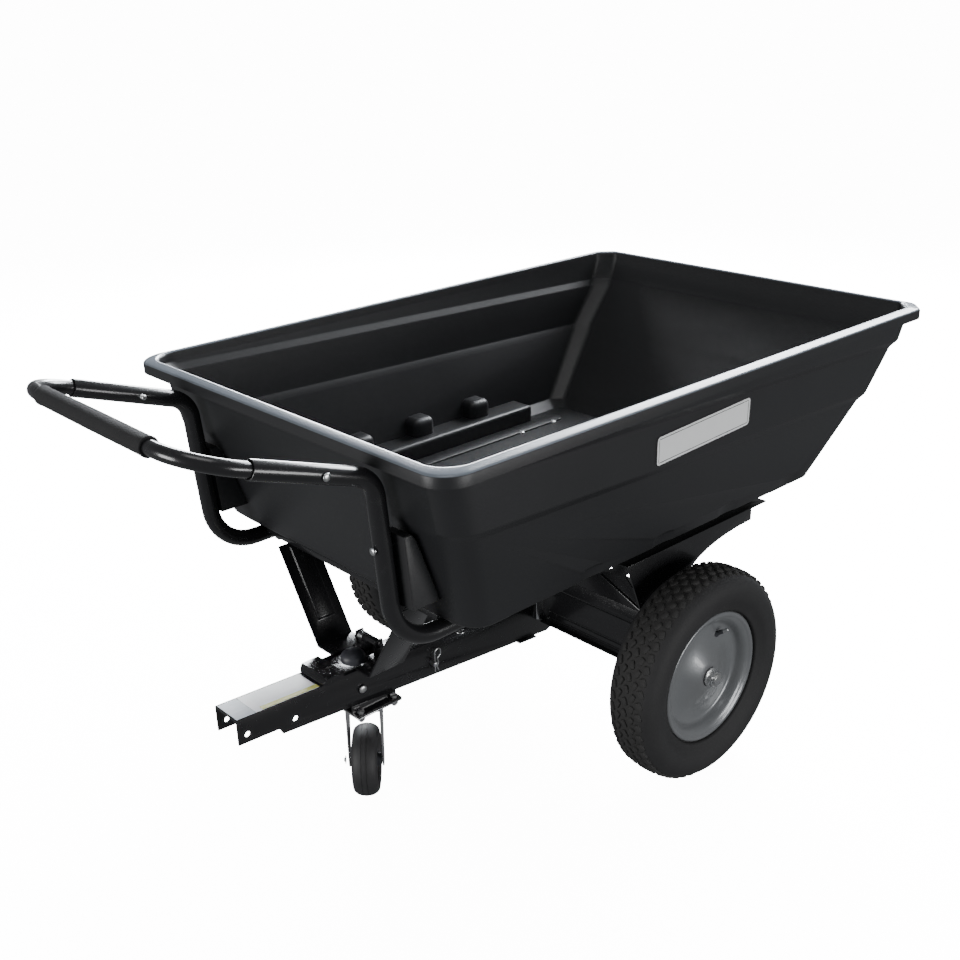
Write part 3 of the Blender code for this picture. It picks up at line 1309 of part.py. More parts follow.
def plate_outline():
    """Side plate in x and z: foot at the axle, front edge, top edge and the concave rear arc."""
    top = SHELF_TOP_Z
    outline = [(-PLATE_FOOT_HALF, PLATE_FOOT_Z), (PLATE_FOOT_HALF, PLATE_FOOT_Z),
               (PLATE_NECK_X, PLATE_NECK_Z)]
    # A quarter ellipse from upright at the neck to level at the rear end.
    for step in range(1, ARC_STEPS + 1):
        angle = radians(90.0 * step / ARC_STEPS)
        x = PLATE_NECK_X + (PLATE_REAR_X - PLATE_NECK_X) * (1.0 - cos(angle))
        z = PLATE_NECK_Z + (PLATE_END_Z - PLATE_NECK_Z) * sin(angle)
        outline.append((x, z))
    outline += [(PLATE_REAR_X, top), (SHELF_FRONT_X, top),
                (PLATE_FRONT_X, PLATE_NECK_Z), (PLATE_SHOULDER_X, BEAM_TOP_Z),
                (-BEAM_HALF_WIDTH - BEAM_FLANGE, BEAM_BOTTOM_Z)]
    return outline


def make_side_plates():
    sheet = PLATE_SHEET
    for word, side in SIDES:
        bm = bmesh.new()
        ends = sorted((side * PLATE_Y, side * (PLATE_Y + sheet)))
        add_prism(bm, plate_outline(), "Y", ends[0], ends[1])
        plate = finish("side_plate_" + word, bm, black_steel(), tip_pivot())

        # Top shelf, folded inwards under the side tube, with its rear tip past the plate.
        shelf = bmesh.new()
        ends = sorted((side * SHELF_INNER_Y, side * (PLATE_Y + sheet * 0.5)))
        add_box(shelf, (SHELF_FRONT_X, ends[0], SHELF_TOP_Z - sheet), (SHELF_REAR_X, ends[1], SHELF_TOP_Z))
        boolean(plate, shelf, "UNION", "side_plate_shelf_" + word)
        holes = bmesh.new()
        for x in FLOOR_BOLT_X:
            if x > SHELF_FRONT_X:
                add_cylinder(holes, (x, side * TUBE_Y, SHELF_TOP_Z - 2 * sheet),
                             (x, side * TUBE_Y, SHELF_TOP_Z + sheet), bore(BOLT_RADIUS))
        add_cylinder(holes, (0, side * (PLATE_Y - sheet), AXLE_Z), (0, side * (PLATE_Y + 2 * sheet), AXLE_Z),
                     bore(AXLE_RADIUS, HUB_SIDES), HUB_SIDES)
        boolean(plate, holes, "DIFFERENCE", "side_plate_holes_" + word)


def make_axle():
    bm = bmesh.new()
    add_cylinder(bm, (0, -AXLE_END, AXLE_Z), (0, AXLE_END, AXLE_Z), AXLE_RADIUS, HUB_SIDES)
    finish("axle_shaft", bm, zinc(), tip_pivot())

    inner = bore(AXLE_RADIUS, HUB_SIDES)
    start = WHEEL_Y + HUB_OUTER_REACH + GAP
    flange = start + NUT_FLANGE
    end = flange + NUT_LENGTH
    profile = [(start, inner), (end, inner), (end, NUT_RADIUS - NUT_CHAMFER), (end - NUT_CHAMFER, NUT_RADIUS),
               (flange, NUT_RADIUS), (flange, NUT_FLANGE_RADIUS), (start, NUT_FLANGE_RADIUS)]
    for word, side in SIDES:
        nut = bmesh.new()
        add_turned(nut, (0, 0, AXLE_Z), (0, side, 0), profile, HUB_SIDES, closed=True)
        finish("axle_nut_" + word, nut, zinc(), tip_pivot())


def rim_profile():
    """Rim section as (along, radius): two pressed halves welded back to back, parted again round the hub."""
    half = RIM_WIDTH / 2
    sheet = RIM_SHEET
    seat = BEAD_RADIUS - GAP
    hole = bore(HUB_RADIUS, WHEEL_SIDES)
    barrel = [(half, RIM_RADIUS), (half - sheet, RIM_RADIUS), (half - 3 * sheet, seat),
              (WELL_HALF_WIDTH, seat), (WELL_HALF_WIDTH - sheet, WELL_RADIUS)]
    face = [(DOME_REACH, hole), (DOME_REACH, DOME_RADIUS - sheet), (sheet, DISC_FLAT_INNER),
            (sheet, DISC_FLAT_OUTER), (WELL_HALF_WIDTH, WELL_RADIUS - sheet),
            (WELL_HALF_WIDTH + sheet, seat - sheet), (half - 2 * sheet, seat - sheet)]
    space = [(DOME_REACH - 2 * sheet, DOME_RADIUS - sheet), (DOME_REACH - 2 * sheet, hole)]
    outer_side = face + barrel
    inner_side = [(-a, r) for a, r in reversed(outer_side)]
    hollow = [(-a, r) for a, r in reversed(space)] + [(0.0, DISC_FLAT_INNER - sheet)] + space
    return outer_side + inner_side + hollow


def tyre_profile():
    """Tyre section, open towards the rim: tread, sidewalls, beads and the air space."""
    half = TYRE_WIDTH / 2
    top = TYRE_RADIUS
    bead = BEAD_RADIUS
    foot = RIM_WIDTH / 2 - RIM_SHEET * 3 - GAP
    bulge = half - TYRE_WALL
    over_flange = RIM_RADIUS + FLANGE_PLAY
    side = [(foot, bead), (foot, bead + BEAD_HEIGHT), (RIM_WIDTH / 2 - 2 * RIM_SHEET, over_flange),
            (half * 0.84, over_flange + BEAD_HEIGHT), (half, bead + 0.050),
            (half * 0.95, top - 2 * SHOULDER_DROP), (half * 0.78, top - SHOULDER_DROP),
            (half * 0.45, top - 0.3 * SHOULDER_DROP), (0.0, top)]
    inner = [(0.0, top - 2 * TYRE_WALL), (half * 0.66, top - 2 * TYRE_WALL - SHOULDER_DROP),
             (bulge, bead + 0.050), (foot - TYRE_WALL, bead + 3 * BEAD_HEIGHT), (foot - TYRE_WALL, bead)]
    outer = side + [(-a, r) for a, r in reversed(side[:-1])]
    cavity = [(-a, r) for a, r in reversed(inner[1:])] + [(a, r) for a, r in inner]
    return outer + cavity


def make_wheels():
    for word, side in SIDES:
        centre = (0.0, side * WHEEL_Y, AXLE_Z)
        outwards = (0.0, float(side), 0.0)
        tyre = bmesh.new()
        add_turned(tyre, centre, outwards, tyre_profile(), WHEEL_SIDES, closed=True)
        finish("tyre_" + word, tyre, tyre_rubber(), centre)

        rim = bmesh.new()
        add_turned(rim, centre, outwards, rim_profile(), WHEEL_SIDES, closed=True)
        finish("rim_" + word, rim, rim_paint(), centre)

        hub = bmesh.new()
        inner = bore(AXLE_RADIUS, WHEEL_SIDES, TURN_GAP)
        inboard = WHEEL_Y - (PLATE_Y + PLATE_SHEET + GAP)
        profile = [(-inboard, inner), (HUB_OUTER_REACH, inner), (HUB_OUTER_REACH, HUB_RADIUS),
                   (-inboard, HUB_RADIUS)]
        add_turned(hub, centre, outwards, profile, WHEEL_SIDES, closed=True)
        finish("hub_" + word, hub, rim_paint(), centre)

        valve = bmesh.new()
        start = RIM_SHEET + GAP
        across = Vector((cos(VALVE_ANGLE), 0.0, sin(VALVE_ANGLE))) * VALVE_STATION
        profile = [(start, VALVE_RADIUS), (VALVE_LENGTH * 0.55, VALVE_RADIUS),
                   (VALVE_LENGTH * 0.6, VALVE_RADIUS * 0.8), (start + VALVE_LENGTH, VALVE_RADIUS * 0.8)]
        add_turned(valve, Vector(centre) + across, outwards, profile, BOLT_SIDES)
        finish("valve_" + word, valve, black_plastic(), centre)


def build():
    remove_old_objects()
    make_drawbar()
    make_pivot_sleeve()
    make_clevis_pin()
    make_wire_clip()
    make_stop_plate()
    make_catch_bolt()
    make_caster_bracket()
    make_caster_plate()
    make_caster_fork()
    make_caster_wheel()
    make_tub()
    make_side_tubes()
    make_handle()
    make_frame_bolts()
    make_cross_member()
    make_struts()
    make_saddle()
    make_latch()
    make_axle_beam()
    make_side_plates()
    make_pivot_bracket()
    make_axle()
    make_wheels()


build()
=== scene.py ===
"""The looks of the garden tractor trailer: camera, light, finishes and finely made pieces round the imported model.

Metres. Pieces are modelled from the wheel axle, x = 0, with the ground at z = 0, and then set in the model's
frame by settle(). The hitch points to -X and the near side is -Y.
"""
import json
from math import atan2, cos, pi, radians, sin, sqrt, tan

import bmesh
import bpy
from mathutils import Euler, Matrix, Vector


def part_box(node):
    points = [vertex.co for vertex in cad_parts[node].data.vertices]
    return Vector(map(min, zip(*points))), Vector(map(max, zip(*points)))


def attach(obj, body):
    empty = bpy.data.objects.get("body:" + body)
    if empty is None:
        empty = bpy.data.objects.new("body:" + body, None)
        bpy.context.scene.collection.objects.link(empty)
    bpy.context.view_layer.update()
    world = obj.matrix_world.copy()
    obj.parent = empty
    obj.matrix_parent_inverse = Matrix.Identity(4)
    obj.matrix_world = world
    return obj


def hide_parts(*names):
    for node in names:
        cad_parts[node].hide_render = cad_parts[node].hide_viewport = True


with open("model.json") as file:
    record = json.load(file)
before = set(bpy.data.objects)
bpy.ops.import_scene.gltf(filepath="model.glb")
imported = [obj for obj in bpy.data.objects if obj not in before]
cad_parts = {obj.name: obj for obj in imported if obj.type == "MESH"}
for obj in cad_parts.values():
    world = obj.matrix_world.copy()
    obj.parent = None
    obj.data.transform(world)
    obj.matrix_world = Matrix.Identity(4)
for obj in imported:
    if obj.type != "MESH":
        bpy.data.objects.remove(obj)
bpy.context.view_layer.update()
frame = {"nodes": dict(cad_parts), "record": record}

AXLE = (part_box("axle_shaft")[0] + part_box("axle_shaft")[1]) / 2
SIDES = (("near", -1), ("far", 1))
UP = Vector((0.0, 0.0, 1.0))


# Camera, floor and light

CAMERA_FROM_AXLE = Vector((-1.4804, -1.4571, 1.2862))
CAMERA_YAW = radians(47.999)
CAMERA_PITCH = radians(22.692)
CAMERA_ROLL = radians(-1.653)
LENS = 45.743
LENS_SHIFT = (0.0011, 0.0139)


def make_camera():
    forward = Vector((cos(CAMERA_YAW) * cos(CAMERA_PITCH), sin(CAMERA_YAW) * cos(CAMERA_PITCH),
                      -sin(CAMERA_PITCH)))
    level = Vector((sin(CAMERA_YAW), -cos(CAMERA_YAW), 0.0))
    upright = level.cross(forward)
    right = level * cos(CAMERA_ROLL) + upright * sin(CAMERA_ROLL)
    top = upright * cos(CAMERA_ROLL) - level * sin(CAMERA_ROLL)
    camera = bpy.data.objects.new("photo_camera", bpy.data.cameras.new("photo_camera"))
    place = Matrix((right, top, -forward)).transposed().to_4x4()
    place.translation = CAMERA_FROM_AXLE + Vector((AXLE.x, 0.0, 0.0))
    camera.matrix_world = place
    camera.data.lens = LENS
    camera.data.shift_x, camera.data.shift_y = LENS_SHIFT
    camera.data.clip_end = 100.0
    bpy.context.collection.objects.link(camera)
    bpy.context.scene.camera = camera


def add_softbox(name, place, aim, size, power, colour=(1.0, 1.0, 1.0)):
    """A rectangular area light at a place, facing a point."""
    light = bpy.data.lights.new(name, "AREA")
    light.shape = "RECTANGLE"
    light.size, light.size_y = size
    light.energy = power
    light.color = colour
    lamp = bpy.data.objects.new(name, light)
    lamp.location = place
    lamp.rotation_euler = (Vector(aim) - Vector(place)).to_track_quat("-Z", "Y").to_euler()
    bpy.context.collection.objects.link(lamp)


BACKDROP_GLOW = 14.0
ROOM_LIGHT = 0.20
FLOOR_SIZE = 60.0
DOME_RADIUS = 45.0


def make_studio():
    """A white floor and a white dome, seen but lighting nothing, and a soft room light with four softboxes."""
    world = bpy.data.worlds.new("studio_white")
    world.use_nodes = True
    room = world.node_tree.nodes["Background"]
    room.inputs["Strength"].default_value = ROOM_LIGHT
    room.inputs["Color"].default_value = (0.95, 0.97, 1.0, 1.0)
    bpy.context.scene.world = world
    add_softbox("rear_softbox", (3.3, 0.7, 2.8), (0.0, -0.2, 0.7), (2.4, 1.8), 420.0, (0.93, 0.96, 1.0))
    add_softbox("far_softbox", (2.2, 3.2, 2.3), (0.0, 0.0, 0.7), (1.8, 1.2), 330.0, (0.93, 0.96, 1.0))
    add_softbox("overhead_softbox", (-0.7, -0.7, 3.6), (0.0, 0.0, 0.4), (1.6, 1.6), 18.0)
    add_softbox("front_softbox", (-3.2, 0.4, 0.75), (-0.4, 0.0, 0.45), (1.2, 1.2), 60.0)
    add_softbox("side_softbox", (0.5, -3.4, 0.65), (0.1, 0.0, 0.35), (1.8, 1.0), 60.0)

    clear()
    bpy.ops.mesh.primitive_plane_add(size=FLOOR_SIZE)
    backdrop = [bpy.context.active_object]
    backdrop[0].name = "studio_floor"
    bpy.ops.mesh.primitive_uv_sphere_add(segments=48, ring_count=24, radius=DOME_RADIUS)
    backdrop.append(bpy.context.active_object)
    backdrop[1].name = "studio_dome"
    look = Look("studio_white", (0.9, 0.9, 0.9), 0.8, Emission_Strength=BACKDROP_GLOW)
    cloud = look.noise(look.place(), 0.5, 2.0)
    look.feed(look.shader.inputs["Emission Color"], look.blend(cloud, (0.98, 0.98, 0.98), (1.0, 1.0, 1.0)))
    for obj in backdrop:
        obj.data.materials.append(look.material)
        obj.visible_diffuse = obj.visible_glossy = obj.visible_transmission = obj.visible_shadow = False


# Finishes: a Wire is a value in a material, and maths on it adds the nodes

class Wire:
    """A socket of a material that can be used in sums."""

    def __init__(self, look, socket):
        self.look = look
        self.socket = socket

    def sum(self, operation, first, second=None, third=None):
        values = {index: value for index, value in enumerate((first, second, third)) if value is not None}
        return self.look.add("ShaderNodeMath", {"operation": operation}, values)

    def __add__(self, other):
        return self.sum("ADD", self, other)

    __radd__ = __add__

    def __sub__(self, other):
        return self.sum("SUBTRACT", self, other)

    def __rsub__(self, other):
        return self.sum("SUBTRACT", other, self)

    def __mul__(self, other):
        return self.sum("MULTIPLY", self, other)

    __rmul__ = __mul__

    def __truediv__(self, other):
        return self.sum("DIVIDE", self, other)

    def __pow__(self, other):
        return self.sum("POWER", self, other)

    def __abs__(self):
        return self.sum("ABSOLUTE", self)

    def above(self, edge, soft):
        """0 below an edge and 1 above it, over a soft width."""
        return self.look.add("ShaderNodeMapRange", {"interpolation_type": "SMOOTHSTEP"},
                             {"Value": self, "From Min": edge - soft, "From Max": edge + soft})

    def below(self, edge, soft):
        return 1.0 - self.above(edge, soft)

    def between(self, low, high, soft):
        return self.above(low, soft) * self.below(high, soft)


class Look:
    """A finish: one Principled material and the nodes that vary it."""

    def __init__(self, name, colour, roughness, metallic=0.0, **sockets):
        self.material = bpy.data.materials.new(name)
        self.material.use_nodes = True
        self.tree = self.material.node_tree
        self.shader = self.tree.nodes["Principled BSDF"]
        fixed = {"Base Color": (*colour, 1.0), "Roughness": roughness, "Metallic": metallic}
        fixed.update({name.replace("_", " "): value for name, value in sockets.items()})
        for socket, value in fixed.items():
            self.shader.inputs[socket].default_value = value

    def add(self, kind, settings=None, values=None, output=0):
        """Adds a node: its settings first, then the values or links of its sockets."""
        node = self.tree.nodes.new(kind)
        for setting, value in (settings or {}).items():
            if setting == "stops":
                self.set_stops(node.color_ramp, value)
            else:
                setattr(node, setting, value)
        for socket, value in (values or {}).items():
            self.feed(node.inputs[socket], value)
        return Wire(self, node.outputs[output])

    def set_stops(self, ramp, stops):
        while len(ramp.elements) < len(stops):
            ramp.elements.new(1.0)
        for element, (position, colour) in zip(ramp.elements, stops):
            element.position = position
            element.color = colour

    def feed(self, socket, value):
        if isinstance(value, Wire):
            self.tree.links.new(value.socket, socket)
        elif socket.type == "RGBA":
            socket.default_value = (*value[:3], 1.0)
        else:
            socket.default_value = value

    def place(self, offset=(0.0, 0.0, 0.0)):
        """Object coordinates, counted from a point."""
        here = self.add("ShaderNodeTexCoord", output="Object")
        return self.add("ShaderNodeVectorMath", {"operation": "SUBTRACT"}, {0: here, 1: tuple(offset)})

    def stretched(self, place, scale):
        return self.add("ShaderNodeVectorMath", {"operation": "MULTIPLY"}, {0: place, 1: scale})

    def parts(self, place):
        """The x, y and z of a place as three Wires."""
        split = self.add("ShaderNodeSeparateXYZ", values={0: place})
        return [Wire(self, socket) for socket in split.socket.node.outputs]

    def noise(self, place, scale, detail=4.0, roughness=0.55):
        return self.add("ShaderNodeTexNoise", values={"Vector": place, "Scale": scale, "Detail": detail,
                                                      "Roughness": roughness}, output="Fac")

    def cells(self, place, scale, feature="F1"):
        return self.add("ShaderNodeTexVoronoi", {"feature": feature}, {"Vector": place, "Scale": scale},
                        output="Distance")

    def blend(self, share, low, high):
        """A colour between two, by a share."""
        return self.add("ShaderNodeMix", {"data_type": "RGBA"}, {"Factor": share, 6: low, 7: high}, output=2)

    def paint(self, colour):
        self.feed(self.shader.inputs["Base Color"], colour)

    def rough(self, value):
        self.feed(self.shader.inputs["Roughness"], value)

    def bump(self, height, distance, strength=1.0):
        """Raises the surface by a height from 0 to 1 times a distance in metres."""
        normal = self.add("ShaderNodeBump", values={"Strength": strength, "Distance": distance, "Height": height})
        self.feed(self.shader.inputs["Normal"], normal)


LOOKS = {}


def look_of(make):
    """A finish is made once and shared."""
    if make.__name__ not in LOOKS:
        LOOKS[make.__name__] = make()
    return LOOKS[make.__name__].material


def tub_plastic():
    """Charcoal polyethylene: fine moulded grain and faint flow clouds, and a painted highlight, pale and bluish, on
    the upward-facing top of the rim, which is also made smoother.
    """
    look = Look("charcoal_tub_plastic", (0.016, 0.0165, 0.018), 0.42)
    place = look.place()
    cloud = look.noise(place, 5.0, 3.0)
    grain = look.noise(place, 620.0, 2.0)
    peel = look.noise(place, 90.0, 2.0)
    scuff = look.noise(look.stretched(place, (3.0, 3.0, 60.0)), 9.0, 5.0, 0.7).above(0.66, 0.05)
    _, _, height = look.parts(place)
    _, _, facing = look.parts(look.add("ShaderNodeNewGeometry", output="Normal"))
    # Mask of the rim's upward-facing top, above the wall: it carries a painted highlight and a lower roughness.
    crest_highlight_and_gloss = height.above(0.7190, 0.0012) * facing.above(0.50, 0.12)
    body = look.blend(cloud, (0.0135, 0.0140, 0.0155), (0.0190, 0.0195, 0.0215))
    body = look.blend(scuff * 0.25, body, (0.050, 0.051, 0.054))
    # Painted highlight: the rim top is blended towards a pale bluish grey.
    look.paint(look.blend(crest_highlight_and_gloss * 0.75, body, (0.22, 0.25, 0.29)))
    look.rough(0.38 + cloud * 0.08 + scuff * 0.08 - crest_highlight_and_gloss * 0.20)
    look.bump(grain * 0.6 + peel * 0.4, 0.00020)
    return look


def gloss_black():
    """Powder coat: a soft orange peel under a glossy skin, with dust in the low places."""
    look = Look("gloss_black_steel", (0.012, 0.012, 0.013), 0.22, 0.0, Coat_Weight=0.35, Coat_Roughness=0.12)
    place = look.place()
    cloud = look.noise(place, 14.0, 3.0)
    peel = look.noise(place, 240.0, 2.0)
    dust = look.noise(place, 55.0, 5.0, 0.7).above(0.62, 0.08)
    look.paint(look.blend(dust * 0.04, look.blend(cloud, (0.010, 0.010, 0.011), (0.014, 0.014, 0.0155)),
                          (0.10, 0.10, 0.11)))
    look.rough(0.22 + cloud * 0.06 + dust * 0.04)
    look.bump(peel, 0.00010)
    return look


def zinc_plate():
    """Bright zinc: cloudy passivation, fine drawing marks and small dull specks."""
    look = Look("zinc_plate", (0.62, 0.64, 0.66), 0.3, 1.0)
    place = look.place()
    cloud = look.noise(place, 60.0, 4.0)
    marks = look.noise(look.stretched(place, (40.0, 900.0, 900.0)), 1.0, 3.0)
    speck = look.noise(place, 420.0, 3.0).above(0.66, 0.04)
    tint = look.blend(cloud, (0.56, 0.59, 0.64), (0.74, 0.73, 0.69))
    look.paint(look.blend(speck * 0.45, tint, (0.30, 0.30, 0.31)))
    look.rough(0.20 + cloud * 0.16 + speck * 0.15)
    look.bump(marks, 0.00006)
    return look


def rim_paint():
    """Grey silver wheel paint: metal flake, slight peel and dust near the hub."""
    look = Look("grey_rim_paint", (0.20, 0.21, 0.22), 0.32, 0.25, Coat_Weight=0.5, Coat_Roughness=0.1)
    place = look.place(AXLE)
    flake = look.cells(place, 1400.0)
    cloud = look.noise(place, 20.0, 3.0)
    x, _, z = look.parts(place)
    radius = (x * x + z * z) ** 0.5
    dust = radius.below(0.040, 0.015) * look.noise(place, 90.0, 4.0)
    body = look.blend(cloud, (0.145, 0.152, 0.160), (0.190, 0.198, 0.206))
    body = look.blend(flake * 0.25, body, (0.28, 0.29, 0.30))
    look.paint(look.blend(dust * 0.35, body, (0.11, 0.11, 0.11)))
    look.rough(0.26 + cloud * 0.08 + dust * 0.2)
    look.bump(look.noise(place, 260.0, 2.0), 0.00012)
    return look


def tyre_rubber():
    """Moulded rubber: concentric sidewall lines, vent pips' dullness, road dust between the blocks."""
    look = Look("tyre_rubber", (0.020, 0.020, 0.021), 0.72, Specular_IOR_Level=0.35)
    place = look.place(AXLE)
    x, _, z = look.parts(place)
    radius = (x * x + z * z) ** 0.5
    cloud = look.noise(place, 26.0, 4.0)
    grain = look.noise(place, 700.0, 2.0)
    lines = look.add("ShaderNodeMath", {"operation": "SINE"}, {0: radius * 2600.0})
    sidewall = radius.between(0.125, 0.178, 0.004)
    dust = radius.below(0.1935, 0.0015) * radius.above(0.182, 0.004)
    body = look.blend(cloud, (0.017, 0.017, 0.018), (0.030, 0.030, 0.031))
    look.paint(look.blend(dust * 0.35, body, (0.055, 0.053, 0.050)))
    look.rough(0.62 + cloud * 0.16 + dust * 0.1)
    look.bump(grain * 0.5 + lines * sidewall * 0.12, 0.0003)
    return look


def caster_rubber():
    """Harder, darker rubber of the small wheel, scuffed on its tread."""
    look = Look("caster_rubber", (0.022, 0.022, 0.023), 0.55)
    place = look.place()
    cloud = look.noise(place, 60.0, 5.0)
    look.paint(look.blend(cloud, (0.016, 0.016, 0.017), (0.036, 0.036, 0.038)))
    look.rough(0.45 + cloud * 0.25)
    look.bump(look.noise(place, 800.0, 2.0), 0.00025)
    return look


def grip_foam():
    """Closed cell foam: small soft pits over a dull black."""
    look = Look("grip_foam", (0.014, 0.014, 0.015), 0.92, Sheen_Weight=0.04, Sheen_Roughness=0.5)
    place = look.place()
    cells = look.cells(place, 900.0)
    cloud = look.noise(place, 30.0, 4.0)
    look.paint(look.blend(cells, (0.004, 0.004, 0.0045), (0.011, 0.011, 0.012)))
    look.rough(0.80 + cloud * 0.15)
    look.bump(cells, 0.0005)
    return look


def black_plastic():
    """Moulded black plastic with a fine spark texture."""
    look = Look("black_plastic", (0.030, 0.032, 0.038), 0.38)
    place = look.place()
    spark = look.noise(place, 900.0, 2.0)
    cloud = look.noise(place, 40.0, 3.0)
    look.paint(look.blend(cloud, (0.026, 0.028, 0.034), (0.050, 0.053, 0.062)))
    look.rough(0.34 + cloud * 0.14)
    look.bump(spark, 0.0002)
    return look


def label_white():
    """A plain printed film: white, slightly satin, with a faint fibre."""
    look = Look("label_white", (0.80, 0.81, 0.80), 0.34)
    place = look.place()
    cloud = look.noise(place, 45.0, 4.0)
    look.paint(look.blend(cloud, (0.86, 0.87, 0.87), (0.93, 0.94, 0.94)))
    look.rough(0.28 + cloud * 0.12)
    look.bump(look.noise(place, 500.0, 2.0), 0.00005)
    return look


def label_ink():
    look = Look("label_ink", (0.03, 0.035, 0.03), 0.4)
    cloud = look.noise(look.place(), 300.0, 3.0)
    look.paint(look.blend(cloud, (0.020, 0.026, 0.021), (0.050, 0.060, 0.052)))
    look.rough(0.32 + cloud * 0.12)
    return look


def label_grey():
    look = Look("label_grey", (0.33, 0.38, 0.45), 0.32)
    cloud = look.noise(look.stretched(look.place(), (1.0, 8.0, 1.0)), 40.0, 3.0)
    look.paint(look.blend(cloud, (0.24, 0.29, 0.36), (0.46, 0.51, 0.58)))
    look.rough(0.28 + cloud * 0.12)
    return look


def label_yellow():
    look = Look("label_yellow", (0.76, 0.75, 0.12), 0.35)
    cloud = look.noise(look.place(), 120.0, 3.0)
    look.paint(look.blend(cloud, (0.72, 0.72, 0.08), (0.80, 0.80, 0.20)))
    look.rough(0.30 + cloud * 0.12)
    return look


# Working by hand: select, draw, extrude, spin and cut

def clear():
    bpy.ops.object.select_all(action="DESELECT")


def hold(obj):
    """Makes one object the selected and active one."""
    clear()
    obj.select_set(True)
    bpy.context.view_layer.objects.active = obj


def edit(obj, everything=True):
    hold(obj)
    bpy.ops.object.mode_set(mode="EDIT")
    bpy.ops.mesh.select_mode(type="EDGE")
    bpy.ops.mesh.select_all(action="SELECT" if everything else "DESELECT")


def done():
    bpy.ops.object.mode_set(mode="OBJECT")


def pick(kind, test):
    """In edit mode, selects the vertices, edges or faces whose middle and direction pass a test."""
    bpy.ops.mesh.select_mode(type=kind)
    bpy.ops.mesh.select_all(action="DESELECT")
    mesh = bpy.context.edit_object.data
    bm = bmesh.from_edit_mesh(mesh)
    if kind == "VERT":
        for vertex in bm.verts:
            vertex.select = bool(test(vertex.co, vertex.normal))
    elif kind == "EDGE":
        for edge in bm.edges:
            first, second = (vertex.co for vertex in edge.verts)
            edge.select = bool(test((first + second) / 2, (second - first).normalized()))
    else:
        for face in bm.faces:
            face.select = bool(test(face.calc_center_median(), face.normal))
    bm.select_flush_mode()
    bmesh.update_edit_mesh(mesh)


def pull(step):
    """Extrudes what is selected by a step."""
    bpy.ops.mesh.extrude_region_move(TRANSFORM_OT_translate={"value": tuple(step)})


def freeze(obj):
    """Puts an object's place into its mesh."""
    hold(obj)
    bpy.ops.object.transform_apply(location=True, rotation=True, scale=True)


def tidy_up(obj):
    """Merges doubles and turns the faces outwards."""
    edit(obj)
    bpy.ops.mesh.remove_doubles(threshold=1e-6)
    bpy.ops.mesh.normals_make_consistent(inside=False)
    done()


def modify(obj, kind, **settings):
    """Adds a modifier and applies it."""
    hold(obj)
    modifier = obj.modifiers.new(kind, kind)
    for setting, value in settings.items():
        setattr(modifier, setting, value)
    bpy.ops.object.modifier_apply(modifier=modifier.name)
    return obj


def cut(obj, tool, operation="DIFFERENCE"):
    modify(obj, "BOOLEAN", object=tool, operation=operation, solver="EXACT")
    bpy.data.objects.remove(tool)
    return obj


def add_on(obj, tool):
    return cut(obj, tool, "UNION")


def soften(obj, width, segments=2, angle=30.0):
    return modify(obj, "BEVEL", width=width, segments=segments, limit_method="ANGLE",
                  angle_limit=radians(angle), use_clamp_overlap=True)


def join(pieces):
    """Makes one object of several, under the first one's name."""
    hold(pieces[0])
    for piece in pieces[1:]:
        piece.select_set(True)
    if len(pieces) > 1:
        bpy.ops.object.join()
    return pieces[0]


def trace(name, points, closed=False, fill=False):
    """Draws a line: a plane merged to one vertex and extruded from point to point."""
    points = [Vector(point) for point in points]
    clear()
    bpy.ops.mesh.primitive_plane_add(size=0.01)
    obj = bpy.context.active_object
    obj.name = name
    bpy.ops.object.mode_set(mode="EDIT")
    bpy.ops.mesh.select_mode(type="VERT")
    bpy.ops.mesh.select_all(action="SELECT")
    bpy.ops.mesh.merge(type="CENTER")
    bpy.ops.transform.translate(value=points[0])
    for before, after in zip(points, points[1:]):
        pull(after - before)
    if closed or fill:
        bm = bmesh.from_edit_mesh(obj.data)
        bm.verts.ensure_lookup_table()
        for vertex in bm.verts:
            vertex.select = vertex in (bm.verts[0], bm.verts[-1])
        bmesh.update_edit_mesh(obj.data)
        bpy.ops.mesh.edge_face_add()
    if fill:
        bpy.ops.mesh.select_all(action="SELECT")
        bpy.ops.mesh.edge_face_add()
    done()
    return obj


def plate(name, outline, axis, low, high):
    """A blank cut to an outline square to an axis, and as thick as two stations are apart."""
    def place(first, second):
        return {"X": (low, first, second), "Y": (first, low, second), "Z": (first, second, low)}[axis]
    obj = trace(name, [place(*pair) for pair in outline], fill=True)
    edit(obj)
    pull(Vector([(high - low) * (letter == axis) for letter in "XYZ"]))
    done()
    tidy_up(obj)
    return obj


def aim(obj, centre, direction):
    """Turns a piece made along +Z to a direction and moves it to its place."""
    obj.rotation_euler = Vector(direction).to_track_quat("Z", "Y").to_euler()
    obj.location = centre
    freeze(obj)
    return obj


def turned(name, section, centre=(0.0, 0.0, 0.0), direction=(0.0, 0.0, 1.0), steps=32, closed=True):
    """Spins a section of (along, radius) points round an axis."""
    obj = trace(name, [(radius, 0.0, along) for along, radius in section], closed=closed)
    edit(obj)
    bpy.ops.mesh.spin(steps=steps, angle=2 * pi, center=(0.0, 0.0, 0.0), axis=(0.0, 0.0, 1.0))
    done()
    tidy_up(obj)
    return aim(obj, centre, direction)


def arc(along, radius, size, start, end, steps=4):
    """Points of a rounded corner in a section, from one angle to another in degrees."""
    angles = [radians(start + (end - start) * step / steps) for step in range(steps + 1)]
    return [(along + size * cos(angle), radius + size * sin(angle)) for angle in angles]


